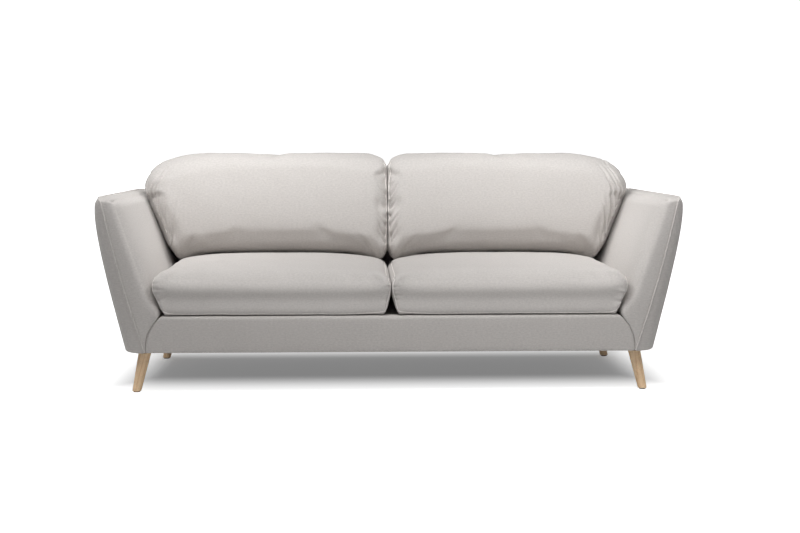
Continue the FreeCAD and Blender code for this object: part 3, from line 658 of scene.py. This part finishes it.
def upholster(obj, body, nodes):
    """Attaches a padded piece to a body and hides the plain solids that it stands for."""
    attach(obj, body)
    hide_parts(*nodes)


ARM_PIECES = {
    "arm_inner_upholstery": (
        ("inner", "front", "top"),
        ("arm_inner_cover", "arm_front_foam", "arm_inner_foam"),
        0.8,
    ),
    "arm_outer_upholstery": (("outer", "rear", "bottom"), ("arm_outer_cover",), 0.9),
}


class SOFA_OT_arms(bpy.types.Operator):
    """Covers both arms: a padded cover in front, inside and on top, and a smooth one outside"""

    bl_idname = "sofa.arms"
    bl_label = "Upholster Arms"

    def execute(self, context):
        shell = scene_shell()
        for side_name, side in SIDES.items():
            for piece, (panels, nodes, fill) in ARM_PIECES.items():
                bm = arm_block(shell, side)
                keep_panels(bm, panels)
                bmesh.ops.solidify(bm, geom=bm.faces[:], thickness=shell.cover)
                obj = finish_mesh(bm, f"{piece}_{side_name}", upholstery())
                subdivided(obj, 1)
                upholster(obj, "frame", [f"{node}_{side_name}" for node in nodes])
        return {"FINISHED"}


def panel_piece(name, cells, ends, size, radii, place, nodes):
    """A padded panel of the frame: a rounded block that place moves into the shell."""
    bm = block(cells, ends)
    for vert in bm.verts:
        share = Vector(vert.co)
        vert.co = place(rounded(share, size, radii), share)
    lay_cloth(bm)
    piece = subdivided(finish_mesh(bm, name, upholstery()), 1)
    upholster(piece, "frame", nodes)


RAIL_DEPTH = 0.030
RAIL_TOP_EDGE = 0.012
OUTSIDE_DEPTH = 0.016


class SOFA_OT_rail(bpy.types.Operator):
    """Covers the front rail between the arms' curved seams"""

    bl_idname = "sofa.rail"
    bl_label = "Upholster Front Rail"

    def execute(self, context):
        shell = scene_shell()

        def place(at, share):
            z = shell.underside + at.z * (shell.deck + 0.0008 - shell.underside)
            half = shell.inner_x(z)
            y = shell.front + at.y * RAIL_DEPTH
            if share.y < ON_EDGE:
                y -= shell.padding * 0.7 * dome(share.x) * dome(share.z)
                y += ripple((half * (2 * at.x - 1), 0, z), 0.12, 0.0010, 11)
            return Vector((half * (2 * at.x - 1), y, z))

        size = Vector((2 * shell.piping_half, RAIL_DEPTH, shell.deck - shell.underside))
        edge = shell.flush_edge
        radii = ((edge, edge), (RAIL_TOP_EDGE, 0.002), (shell.hem_edge, RAIL_TOP_EDGE))
        nodes = ("front_rail_cover", "front_rail_foam")
        cells, ends = (90, 8, 18), (0.6, 0.5, 0.6)
        panel_piece("front_rail_upholstery", cells, ends, size, radii, place, nodes)
        return {"FINISHED"}


class SOFA_OT_back(bpy.types.Operator):
    """Covers the inside and the outside of the back"""

    bl_idname = "sofa.back"
    bl_label = "Upholster Back"

    def execute(self, context):
        shell = scene_shell()
        rise = shell.rim - shell.deck

        def inside(at, share):
            z = shell.deck + at.z * rise
            front, rear = shell.inside_y(z), shell.back_y(z) - 0.012
            y = front + (rear - front) * at.y
            x = (shell.inner_x(z) + 0.004) * (2 * at.x - 1)
            if share.y < ON_EDGE:
                y -= shell.padding * dome(share.x) * dome(share.z)
            if share.z > 1 - ON_EDGE:
                z += shell.padding * 0.8 * dome(share.x) * dome(share.y)
            return Vector((x, y, z))

        size = Vector((2 * shell.inner_x(shell.rim), 0.09, rise))
        radii = ((0.003, 0.003), (shell.top_edge, 0.003), (0.004, shell.top_edge))
        nodes = ("back_inner_cover", "back_foam")
        cells, ends = (70, 12, 24), (0.4, 0.4, 0.6)
        panel_piece("back_inside_upholstery", cells, ends, size, radii, inside, nodes)

        def outside(at, share):
            z = shell.underside + at.z * (shell.rim - shell.underside)
            y = shell.back_y(z) - OUTSIDE_DEPTH * (1 - at.y)
            x = (shell.outer_x(z) - 0.0005) * (2 * at.x - 1)
            if share.y > 1 - ON_EDGE:
                y += shell.padding * 0.7 * dome(share.x) * dome(share.z)
                y += ripple((x, 0, z), 0.18, 0.0014, 5)
            return Vector((x, y, z))

        height = shell.rim - shell.underside
        size = Vector((2 * shell.outer_x(shell.rim), OUTSIDE_DEPTH, height))
        edge = shell.seam_edge
        radii = ((edge, edge), (0.002, edge), (shell.hem_edge, edge))
        nodes, cells, ends = ("back_outer_cover",), (90, 6, 34), (0.6, 0.4, 0.6)
        panel_piece("back_outside_upholstery", cells, ends, size, radii, outside, nodes)
        return {"FINISHED"}


def smoothed(points, rounds):
    """A list of points with its corners relaxed; its ends stay."""
    for _ in range(rounds):
        inner = [(a + 2 * b + c) / 4 for a, b, c in zip(points, points[1:], points[2:])]
        points = [points[0], *inner, points[-1]]
    return points


def tube(name, points, radius, material, cyclic=False):
    """A round cord along points, as a mesh."""
    curve = bpy.data.curves.new(name, "CURVE")
    curve.dimensions = "3D"
    curve.bevel_depth = radius
    curve.bevel_resolution = 2
    curve.use_fill_caps = not cyclic
    spline = curve.splines.new("POLY")
    spline.points.add(len(points) - 1)
    spline.use_cyclic_u = cyclic
    for point, at in zip(spline.points, points):
        point.co = (*at, 1)
    guide = bpy.data.objects.new(name + "_guide", curve)
    bpy.context.scene.collection.objects.link(guide)
    graph = bpy.context.evaluated_depsgraph_get()
    mesh = bpy.data.meshes.new_from_object(guide.evaluated_get(graph))
    bpy.data.objects.remove(guide)
    bpy.data.curves.remove(curve)
    return smooth_object(name, mesh, material)


# Lighter tints of the upholstery fabric: a slight painted highlight on the piping cord and a strong
# painted highlight along the cushions' seams.
HIGHLIGHT_TONES = {"piping_cloth": 1.03, "seam_cloth": 1.42}


def highlighted_cloth(name):
    """The upholstery fabric tinted lighter for a cord or a seam: a painted highlight along its
    raised ridge.
    """
    found = bpy.data.materials.get(name)
    shade = [min(1, c * HIGHLIGHT_TONES[name]) for c in bpy.context.scene.sofa_finish.cloth[:]]
    return found or cloth_material(name, shade, mottle=0.02, on_map=False)


PIPING_STEP, CORNER_ROUNDS = 0.006, 14


class SOFA_OT_piping(bpy.types.Operator):
    """Lays the covered piping cord up each arm's front and all round the rim"""

    bl_idname = "sofa.piping"
    bl_label = "Lay Piping"

    def execute(self, context):
        shell = scene_shell()
        radius, step = shell.piping, PIPING_STEP
        rise = int((shell.rim - shell.underside) / step)
        half = []
        for count in range(rise):
            z = shell.underside + 0.003 + count * step
            half.append(Vector((shell.piping_x(z), shell.front - radius * 0.55, z)))
        length = shell.back_y(shell.rim) - shell.front
        top, inset = shell.rim + radius * 0.35, radius * 0.5
        for count in range(1, int(length / step)):
            at = shell.outer_point(count * step / length, shell.rim)
            half.append(Vector((at.x - inset, at.y, top)))
        rear, edge = shell.back_y(shell.rim) - inset, shell.outer_x(shell.rim) - inset
        across = int(edge / step)
        for count in range(across):
            half.append(Vector((edge * (1 - count / across), rear, top)))
        half = [p + shell.corner_drop(p) for p in smoothed(half, CORNER_ROUNDS)]
        points = half + [Vector((-p.x, p.y, p.z)) for p in reversed(half)]
        # The piping's cloth is tinted a little lighter: a slight painted highlight.
        cord = tube("rim_piping", points, radius, highlighted_cloth("piping_cloth"))
        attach(cord, "frame")
        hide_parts("shell_piping")
        return {"FINISHED"}


# ---------------------------------------------------------------- loose cushions


END_BULGE = 0.010


def seat_arch(across):
    """How much of the crown a seat cushion has at a share of its width."""
    return 1 - abs(2 * clamp(across) - 1) ** 3.6


def seat_top(sizes, x):
    """Height of the seat cushions under the back cushions, at a distance from the middle."""
    across = (abs(x) - sizes.gap) / (sizes.seat_half - sizes.gap)
    return max(sizes.seat_hang, sizes.seat_edge + 0.92 * sizes.seat_crown * seat_arch(across))


SEAT_FRONT_SHARE = 0.55


def seat_form(shell, sizes):
    """Cells, end bias, size, edge radii and placing of the right seat cushion."""
    width = sizes.seat_half - sizes.gap
    depth = sizes.seat_rear - sizes.seat_front
    size = Vector((width, depth, sizes.seat_edge - sizes.seat_low))

    def radii(share):
        height = (2 * share.z - 1) ** 2
        side = 0.014 + 0.011 * height
        near_end = (2 * share.x - 1) ** 8
        foot, top = 0.014 + 0.010 * near_end, 0.058 - 0.030 * near_end
        front = 0.012 + (0.080 - 0.040 * near_end) * share.z
        return ((side, side * 1.15), (front, 0.035), (foot, top))

    def place(at, share):
        z = sizes.seat_low + at.z * size.z
        lift = clamp((at.z - 0.25) / 0.75) ** 1.5
        if at.y < SEAT_FRONT_SHARE:
            deep = 1 - (1 - at.y / SEAT_FRONT_SHARE) ** 2.2
        else:
            deep = 1 - 0.08 * (at.y - SEAT_FRONT_SHARE) / (1 - SEAT_FRONT_SHARE)
        z += sizes.seat_crown * lift * seat_arch(at.x) * deep
        z += 0.014 * lift * at.x**6 * (1 - at.y)
        x = sizes.gap + at.x * width
        x -= max(0, 0.365 - z) * 0.33 * at.x**4
        if share.x < ON_EDGE:
            x -= END_BULGE * dome(share.y) * dome(share.z)
        y = sizes.seat_front + at.y * depth
        return Vector((x, y, z))

    return (46, 36, 12), (0.45, 0.25, 0.2), size, radii, place


# The back cushions' rear stands upright up to a height and leans back above it.
BACK_REAR, BACK_REAR_Z, BACK_REAR_LEAN = 0.322, 0.50, 0.28
HAIR = 0.0002
# The back cushions' outer end follows the arm up to its rim and steps out a little over it.
BACK_END, BACK_END_Z, BACK_END_LEAN, BACK_END_TOP = 0.868, 0.470, 0.369, 0.715
OVER_RIM, OVER_RIM_Z = 0.008, 0.700


def back_form(shell, sizes):
    """Cells, end bias, size, edge radii and placing of the right back cushion."""
    low, high = sizes.back_low, sizes.back_high
    size = Vector((0.96, 0.25, high - low))

    def radii(share):
        side = 0.024 + 0.012 * (2 * share.z - 1) ** 2
        belly = math.exp(-(((share.z - 0.3) / 0.25) ** 2))
        outer = 0.050 + 0.026 * share.z**3 + 0.030 * belly
        top = 0.050 + 0.042 * share.x
        return ((side, outer), (0.100, 0.070), (0.072, top))

    def place(at, share):
        z = low + at.z * size.z
        end = BACK_END + BACK_END_LEAN * (min(z, BACK_END_TOP) - BACK_END_Z)
        end += OVER_RIM * clamp((z - OVER_RIM_Z) / 0.03)
        x = sizes.gap + at.x * (end - sizes.gap)
        crown = 1 - abs(2 * at.x - 0.94) ** 2.4
        shoulder = clamp((at.x - 0.80) / 0.20) ** 2
        z -= (0.030 * (1 - crown) + 0.040 * shoulder) * at.z**2
        z += (seat_top(sizes, x) + 0.002 - low) * (1 - at.z) ** 3
        front = 0.086 + 0.93 * max(0, z - 0.52) ** 2
        rear = BACK_REAR + BACK_REAR_LEAN * max(0, min(z, 0.78) - BACK_REAR_Z)
        y = front + at.y * (rear - front)
        if share.x < ON_EDGE:
            x -= END_BULGE * dome(share.y) * dome(share.z)
        return Vector((x, y, z))

    return (50, 15, 28), (0.45, 0.15, 0.25), size, radii, place


def cushion_bmesh(form, side):
    """The cushion's block, rounded and placed on its side of the sofa."""
    cells, ends, size, radii, place = form
    bm = block(cells, ends)
    for vert in bm.verts:
        share = Vector(vert.co)
        at = place(rounded(share, size, radii(share)), share)
        vert.co = (at.x * side, at.y, at.z)
    if side < 0:
        bmesh.ops.reverse_faces(bm, faces=bm.faces)
    lay_cloth(bm)
    return bm


def vectors_of(items, key):
    """The vectors of a mesh's points or of an attribute's values, as an array."""
    values = np.zeros(len(items) * 3, np.float32)
    items.foreach_get(key, values)
    return values.reshape(-1, 3).astype(float)


def points_of(mesh):
    return vectors_of(mesh.vertices, "co")


def places_of(mesh):
    """Where each point lay on the unit block."""
    return vectors_of(mesh.attributes["place"].data, "vector")


def set_points(mesh, points):
    """Writes an array back to a mesh's vertices."""
    mesh.vertices.foreach_set("co", points.astype(np.float32).ravel())
    mesh.update()


def fill_with_pressure(obj, sizes):
    """Lets a cloth simulation fill the cushion, and caps how far each point moves."""
    scene = bpy.context.scene
    before = points_of(obj.data)
    modifier = obj.modifiers.new("Filling", "CLOTH")
    settings = modifier.settings
    settings.quality = 6
    settings.mass = 0.35
    settings.tension_stiffness = settings.compression_stiffness = 12
    settings.shear_stiffness = 4
    settings.bending_stiffness = 0.35
    settings.air_damping = 4
    settings.use_pressure = True
    settings.uniform_pressure_force = sizes.pressure
    settings.shrink_min = -0.02
    settings.effector_weights.gravity = 0
    modifier.collision_settings.use_collision = False
    modifier.point_cache.frame_start = 1
    modifier.point_cache.frame_end = sizes.steps
    for step in range(1, sizes.steps + 1):
        scene.frame_set(step)
    graph = bpy.context.evaluated_depsgraph_get()
    shaped = obj.evaluated_get(graph)
    after = points_of(shaped.to_mesh())
    shaped.to_mesh_clear()
    obj.modifiers.remove(modifier)
    scene.frame_set(1)
    moved = after - before
    moved -= moved.mean(axis=0)
    middle = (before[:, 0].min() + before[:, 0].max()) / 2
    inward = moved[:, 0] * (before[:, 0] - middle) < 0
    moved[:, 0] *= np.where(inward, sizes.end_pull, 1.0)
    reach = np.linalg.norm(moved, axis=1, keepdims=True)
    moved *= np.minimum(1, sizes.give / np.maximum(reach, 1e-9))
    set_points(obj.data, before + moved)


def bell(values, middle, width):
    """1 at the middle, falling softly to 0 on both sides."""
    return np.exp(-(((values - middle) / width) ** 2))


def seam_distance(place, size, end):
    """Distance of each point from the end seam, over the main panel, in metres."""
    across = place[:, 0] if end == 0 else 1 - place[:, 0]
    return across * size.x


SEAM_DEPTH, SEAM_WIDTH = 0.0040, 0.006


def gathers(place, size, end, spots):
    """Depth of the creases that run from an end seam into the main panel.

    Each spot is (height share, width, depth, length, slant, bend).
    """
    away = seam_distance(place, size, end)
    height = place[:, 2] * size.z
    total = np.zeros(len(place))
    for at, width, depth, length, slant, bend in spots:
        line = at * size.z + slant * away + bend * away**2
        steep = np.sqrt(1 + (slant + 2 * bend * away) ** 2)
        across = (height - line) / (width * steep)
        fold = bell(across, 0, 1) - 0.45 * bell(np.abs(across), 1.9, 1)
        fade = np.clip(1 - away / length, 0, 1) ** 1.2 * np.clip(away / SEAM_WIDTH, 0.25, 1)
        total += depth * fold * fade
    return total


def crease_spots(rng, count, low, high, depth, length, slant):
    """Random creases between two height shares of an end seam."""
    spots = []
    for index in range(count):
        at = low + (high - low) * (index + rng.uniform(0.1, 0.9)) / count
        width = rng.uniform(0.0036, 0.0062)
        strength = depth * rng.choice((0.35, 0.6, 1.0, 1.15))
        reach = length * rng.uniform(0.45, 1.1)
        turn, bend = slant * rng.uniform(0.8, 1.25), rng.uniform(-2, 7)
        spots.append((at, width, strength, reach, turn, bend))
    return spots


def long_fold(place, size, end, distance, width, depth, low, high, lean):
    """Depth of a fold that runs along an end seam between two height shares."""
    away = seam_distance(place, size, end)
    height = place[:, 2]
    middle = (low + high) / 2
    line = distance + lean * (height - middle) + 0.004 * np.sin(height * 23 + distance * 300)
    fade = np.clip(1 - ((height - middle) / ((high - low) / 2)) ** 2, 0, 1)
    return depth * fade * bell(away, line, width)


def seam_ring(mesh, end):
    """The points of an end seam, in order round the end panel."""
    place = places_of(mesh)
    on_end = np.abs(place[:, 0] - end) < ON_SEAM
    rim = (place[:, 1:] < ON_SEAM) | (place[:, 1:] > 1 - ON_SEAM)
    chosen = np.nonzero(on_end & rim.any(axis=1))[0]
    middle = place[chosen, 1:] - 0.5
    reach = np.abs(middle).max(axis=1)
    turn = np.arctan2(middle[:, 1] / reach, middle[:, 0] / reach)
    return chosen[np.argsort(turn)]


def bottom_seam(mesh):
    """The points of the seam along the cushion's lower front edge, from end to end."""
    place = places_of(mesh)
    chosen = np.nonzero((place[:, 1] < ON_SEAM) & (place[:, 2] < ON_SEAM))[0]
    return chosen[np.argsort(place[chosen, 0])]


# Creases: end, count, low, high, depth, length, slant. Folds: end, distance, width, depth,
# low, high, lean. Low and high are shares of the cushion's height.
CUSHIONS = {
    "seat": {
        "form": seat_form,
        "nodes": ("seat_cushion_cover", "seat_cushion_foam"),
        "creases": (
            (0, 6, 0.30, 0.80, 0.0030, 0.045, 0.05),
            (1, 7, 0.25, 0.80, 0.0040, 0.050, 0.10),
        ),
        "folds": (),
        "fill": 0.85,
    },
    "back": {
        "form": back_form,
        "nodes": ("back_cushion_cover", "back_cushion_fill"),
        "creases": (
            (0, 15, 0.12, 0.76, 0.0085, 0.054, 1.3),
            (1, 12, 0.03, 0.60, 0.0100, 0.130, 1.5),
        ),
        "folds": (
            (0, 0.030, 0.009, 0.0030, 0.05, 0.60, 0.02),
            (1, 0.030, 0.012, 0.0030, 0.02, 0.60, 0.03),
            (1, 0.062, 0.016, 0.0040, -0.10, 0.45, 0.05),
        ),
        "fill": 0.75,
    },
}


def shape_cushion(obj, kind, side, size, rng, sizes, shell):
    """Sews the end seams in, gathers the cloth along them and rests it on its neighbours."""
    mesh = obj.data
    points = points_of(mesh)
    normals = vectors_of(mesh.vertex_normals, "vector")
    place = places_of(mesh)
    main = (place[:, 0] > ON_SEAM) & (place[:, 0] < 1 - ON_SEAM)
    depth = np.zeros(len(points))
    for end, count, low, high, deep, length, slant in CUSHIONS[kind]["creases"]:
        spots = crease_spots(rng, count, low, high, deep, length, slant)
        depth += gathers(place, size, end, spots) * main
        away = seam_distance(place, size, end)
        depth += SEAM_DEPTH * bell(away, 0, SEAM_WIDTH)
    for fold in CUSHIONS[kind]["folds"]:
        depth += long_fold(place, size, *fold) * main
    waves = [
        noise.noise(Vector(p) * 7.0 + Vector((side * 3.1, 5.2, len(kind)))) * 0.0022
        + noise.noise(Vector(p) * 19.0 + Vector((side, 1.2, len(kind)))) * 0.0007
        for p in points
    ]
    points += normals * (np.array(waves) - depth)[:, None]
    if kind == "seat":
        points[:, 1] += front_waist(points, place)
        points[:, 0] += side * end_swell(points, place, size)
    rest_on_neighbours(points, kind, side, sizes, shell)
    set_points(mesh, points)


# How far a seat cushion's ends swell and its front is drawn in, each at a height and over a width.
SWELL = {"reach": 0.015, "at": (0.378, 0.050), "along": 0.07, "outer": 0.6}
WAIST = {"reach": 0.0075, "at": (0.336, 0.030), "share": 0.08}


def end_swell(points, place, size):
    """How far a seat cushion's ends swell towards the next cushion and the arm."""
    band = SWELL["reach"] * bell(points[:, 2], *SWELL["at"])
    inner, outer = (
        np.clip(1 - seam_distance(place, size, end) / SWELL["along"], 0, 1) ** 1.5 for end in (0, 1)
    )
    return band * (SWELL["outer"] * outer - inner)


def front_waist(points, place):
    """How far a seat cushion's front is drawn in below its padded edge."""
    band = bell(points[:, 2], *WAIST["at"])
    return WAIST["reach"] * band * np.clip(1 - place[:, 1] / WAIST["share"], 0, 1)


def pressed(values, limit, softness):
    """Values kept under a limit, with a soft approach to it."""
    over = values - (limit - softness)
    eased = limit - softness + softness * (1 - np.exp(-np.maximum(over, 0) / softness))
    return np.where(over > 0, eased, values)


def rest_on_neighbours(points, kind, side, sizes, shell):
    """Flattens the cloth where it meets the arm, the deck, the zip's plane or the next cushion."""
    x, y, z = points[:, 0] * side, points[:, 1], points[:, 2]
    wall = shell.inner_half + shell.inner_slope * (np.minimum(z, shell.rim + 0.03) - shell.deck)
    pads = np.array([shell.inner_pad(value) for value in z])
    x = pressed(x, wall - pads - 0.001, 0.004)
    x = -pressed(-x, -0.001, 0.002)
    rest = np.array([seat_top(sizes, value) for value in x])
    if kind == "seat":
        z = -pressed(-z, -(sizes.seat_low - 0.0005), 0.004)
        under_back = np.clip((0.150 - y) / 0.06, 0, 1)
        z = pressed(z, rest + 0.02 * under_back, 0.004)
        y = pressed(y, sizes.seat_rear - HAIR, 0.003)
    else:
        z = -pressed(-z, -(rest + 0.0012), 0.004)
        rear = BACK_REAR - HAIR + BACK_REAR_LEAN * np.maximum(z - BACK_REAR_Z, 0)
        y = pressed(y, rear, 0.003)
    points[:, 0], points[:, 1], points[:, 2] = x * side, y, z


class SOFA_OT_cushions(bpy.types.Operator):
    """Sews and fills the loose seat and back cushions"""

    bl_idname = "sofa.cushions"
    bl_label = "Fill Cushions"

    def execute(self, context):
        shell, sizes = scene_shell(), context.scene.sofa_cushions
        for kind, facts in CUSHIONS.items():
            for side_name, side in SIDES.items():
                rng = random.Random(f"{kind} {side_name}")
                form = facts["form"](shell, sizes)
                name = f"{kind}_cushion_upholstery_{side_name}"
                obj = finish_mesh(cushion_bmesh(form, side), name, upholstery())
                fill_with_pressure(obj, sizes)
                baked(subdivided(obj, 2))
                shape_cushion(obj, kind, side, form[2], rng, sizes, shell)
                body = f"{kind}_cushion_{side_name}"
                nodes = [f"{node}_{side_name}" for node in facts["nodes"]]
                upholster(obj, body, nodes)
                seams = {"inner": seam_ring(obj.data, 0), "outer": seam_ring(obj.data, 1)}
                if kind == "seat":
                    seams["front"] = bottom_seam(obj.data)
                for place, line in seams.items():
                    points = [obj.data.vertices[int(i)].co.copy() for i in line]
                    label = f"{kind}_cushion_seam_{place}_{side_name}"
                    # The seams' cloth is tinted lighter: a painted highlight along the seams.
                    cloth = highlighted_cloth("seam_cloth")
                    seam = tube(label, points, sizes.seam, cloth, cyclic=place != "front")
                    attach(seam, body)
        return {"FINISHED"}


# ---------------------------------------------------------------- carried-over parts


def leg_materials():
    """Oak for each leg, with its grain turned along the leg."""
    finish = bpy.context.scene.sofa_finish
    made = {}
    light, dark = finish.oak[:], finish.oak_dark[:]
    for end_name, end in ENDS.items():
        for side_name, side in SIDES.items():
            node = f"leg_{end_name}_{side_name}"
            low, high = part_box(node)
            tilt = (math.radians(7 * end), math.radians(-12 * side), 0)
            made[node] = timber_material(
                "oak_" + node, light, dark, 62.0, tilt, (low + high) / 2, 0.5
            )
    return made


def plain_materials():
    """The finishes of the parts inside and underneath, by material slot."""
    pine, pine_dark = (0.56, 0.38, 0.20), (0.38, 0.22, 0.10)
    fibre, fibre_dark = (0.22, 0.13, 0.07), (0.16, 0.09, 0.05)
    return {
        "frame_timber": timber_material("frame_timber", pine, pine_dark, 28.0, gloss=0.75),
        "side_board": timber_material("side_board", fibre, fibre_dark, 9.0, gloss=0.7),
        "spring_steel": metal_material("spring_steel", (0.22, 0.22, 0.23), 0.42),
        "zinc_steel": metal_material("zinc_steel", (0.60, 0.61, 0.63), 0.32),
        "webbing": cloth_material("webbing_cloth", (0.05, 0.05, 0.055), 500.0, on_map=False),
        "lining": cloth_material("lining_cloth", (0.030, 0.030, 0.032), 1300.0, 0.3, 0.25, False),
        "deck_lining": cloth_material("deck_cloth", (0.30, 0.285, 0.27), 1100.0, on_map=False),
        "glide_plastic": plastic_material("glide_plastic", (0.02, 0.02, 0.021)),
        "zip_tape": cloth_material("zip_tape_cloth", (0.36, 0.34, 0.325), 1600.0, on_map=False),
        "zip_metal": metal_material("zip_metal", (0.45, 0.43, 0.40), 0.28),
    }


class SOFA_OT_hardware(bpy.types.Operator):
    """Gives the legs, the frame, the springs, the fixings and the zips their finishes"""

    bl_idname = "sofa.hardware"
    bl_label = "Finish Legs and Frame"

    def execute(self, context):
        finishes, legs = plain_materials(), leg_materials()
        slots = {part["node"]: part["material_slot"] for part in frame["record"]["subparts"]}
        for node, obj in frame["nodes"].items():
            material = legs.get(node) or finishes.get(slots[node])
            if material is None:
                continue
            obj.data.materials.clear()
            obj.data.materials.append(material)
        return {"FINISHED"}


# ---------------------------------------------------------------- stage


def area_light(name, location, aim, size, power, cone=180):
    """A rectangular soft light that faces a point and shines within a cone, in degrees."""
    data = bpy.data.lights.new(name, "AREA")
    data.shape = "RECTANGLE"
    data.size, data.size_y = size
    data.energy = power
    data.spread = math.radians(cone)
    light = bpy.data.objects.new(name, data)
    light.location = location
    heading = Vector(aim) - Vector(location)
    light.rotation_euler = heading.to_track_quat("-Z", "Y").to_euler()
    bpy.context.scene.collection.objects.link(light)
    return light


def towards_camera(nodes, direct, bounced):
    """One strength for the light that the camera sees directly and another for the rest."""
    seen = nodes.add("ShaderNodeLightPath").outputs["Is Camera Ray"]
    return nodes.math("MULTIPLY_ADD", seen, direct - bounced, bounced)


def studio_camera(scene):
    """A long lens in front of the sofa, a little left of its middle and above its seat."""
    camera = bpy.data.objects.new("camera", bpy.data.cameras.new("camera"))
    camera.data.sensor_width = 36
    camera.data.lens = 56.7
    camera.location = (-0.12, -4.87, 0.877)
    pitch, yaw = math.radians(5.49), math.radians(1.94)
    camera.rotation_euler = (math.pi / 2 - pitch, 0, -yaw)
    scene.collection.objects.link(camera)
    scene.camera = camera


def studio_floor():
    """A wide pale floor with painted light: its emission, strongest for the camera, lightens the
    sofa's shadow, shapes its edges beside and in front of the sofa, and evens the floor out to
    white farther away.
    """
    bm = bmesh.new()
    bmesh.ops.create_grid(bm, x_segments=1, y_segments=1, size=60)
    material, nodes, shader = new_material("studio_floor", 0.9, Specular_IOR_Level=0.1)
    pale = bpy.context.scene.sofa_finish.floor[:]
    shader.inputs["Base Color"].default_value = (*pale, 1)
    shader.inputs["Emission Color"].default_value = (1, 1, 1, 1)
    own = own_place(nodes)
    parts = nodes.add("ShaderNodeSeparateXYZ", {"Vector": own})
    # Painted light: the emission is low under the sofa and rises beside it and in front of it,
    # which lifts and shapes the sofa's shadow.
    beside = nodes.ramp(nodes.math("ABSOLUTE", parts.outputs["X"]), 0.86, 1.12)
    behind = nodes.math("ABSOLUTE", nodes.math("SUBTRACT", parts.outputs["Y"], 0.10))
    around = nodes.math("MAXIMUM", beside, nodes.ramp(behind, 0.18, 0.52))
    near = nodes.math("MULTIPLY_ADD", around, 0.70, 0.21)
    reach = nodes.add("ShaderNodeVectorMath", {0: own}, operation="LENGTH")
    far = nodes.ramp(reach.outputs["Value"], 0.9, 2.4, 0.0, 0.45)
    painted_floor_light = nodes.math("MULTIPLY", nodes.math("ADD", near, far), towards_camera(nodes, 1.0, 0.16))
    nodes.feed(shader.inputs["Emission Strength"], painted_floor_light)
    return finish_mesh(bm, "studio_floor", material)


def studio_world():
    """An even white surround, softer on the sofa than it looks."""
    world = bpy.data.worlds.new("studio")
    world.use_nodes = True
    nodes = Nodes(world.node_tree)
    sky = world.node_tree.nodes["Background"]
    sky.inputs["Color"].default_value = (1, 1, 1, 1)
    nodes.feed(sky.inputs["Strength"], towards_camera(nodes, 1.05, 0.18))
    return world


class SOFA_OT_stage(bpy.types.Operator):
    """Sets the pale floor with its painted light, the soft lights and the camera"""

    bl_idname = "sofa.stage"
    bl_label = "Set Stage"

    def execute(self, context):
        scene = context.scene
        studio_floor()
        scene.world = studio_world()
        area_light("key", (-0.28, -1.10, 2.3), (0, 0.26, 0.7), (3.9, 0.9), 26.5, 100)
        area_light("top", (0, 0.9, 2.8), (0, 0.2, 0.6), (3.2, 1.2), 2.5)
        for name, side in SIDES.items():
            place, aim = (-0.35 * side, -0.1, 2.2), (side, -0.1, 0.5)
            area_light("wing_" + name, place, aim, (0.7, 0.7), 1.2, 38)
        low = area_light("low_front", (-0.4, -2.7, 0.16), (-0.1, -0.4, 0.05), (3.0, 0.25), 3)
        low.visible_camera = False
        scene.view_settings.view_transform = "Standard"
        studio_camera(scene)
        return {"FINISHED"}


# ---------------------------------------------------------------- panel and start


OPERATORS = (
    SOFA_OT_cushions,
    SOFA_OT_arms,
    SOFA_OT_rail,
    SOFA_OT_back,
    SOFA_OT_piping,
    SOFA_OT_hardware,
    SOFA_OT_stage,
)


class SOFA_PT_panel(bpy.types.Panel):
    """Lists the steps and the sizes of the sofa"""

    bl_idname = "SOFA_PT_panel"
    bl_label = "Shell Sofa"
    bl_space_type = "VIEW_3D"
    bl_region_type = "UI"
    bl_category = "Sofa"

    def draw(self, context):
        column = self.layout.column(align=True)
        for operator in OPERATORS:
            column.operator(operator.bl_idname)
        for settings in ("sofa_shell", "sofa_cushions", "sofa_finish"):
            group = getattr(context.scene, settings)
            for key in type(group).__annotations__:
                self.layout.prop(group, key)


CLASSES = (ShellSizes, CushionSizes, Finish, *OPERATORS, SOFA_PT_panel)


def register():
    for cls in CLASSES:
        bpy.utils.register_class(cls)
    bpy.types.Scene.sofa_shell = PointerProperty(type=ShellSizes)
    bpy.types.Scene.sofa_cushions = PointerProperty(type=CushionSizes)
    bpy.types.Scene.sofa_finish = PointerProperty(type=Finish)


def unregister():
    for settings in ("sofa_shell", "sofa_cushions", "sofa_finish"):
        delattr(bpy.types.Scene, settings)
    for cls in reversed(CLASSES):
        bpy.utils.unregister_class(cls)


def main():
    register()
    for operator in OPERATORS:
        family, step = operator.bl_idname.split(".")
        getattr(getattr(bpy.ops, family), step)()
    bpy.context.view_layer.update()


if __name__ == "__main__":
    main()
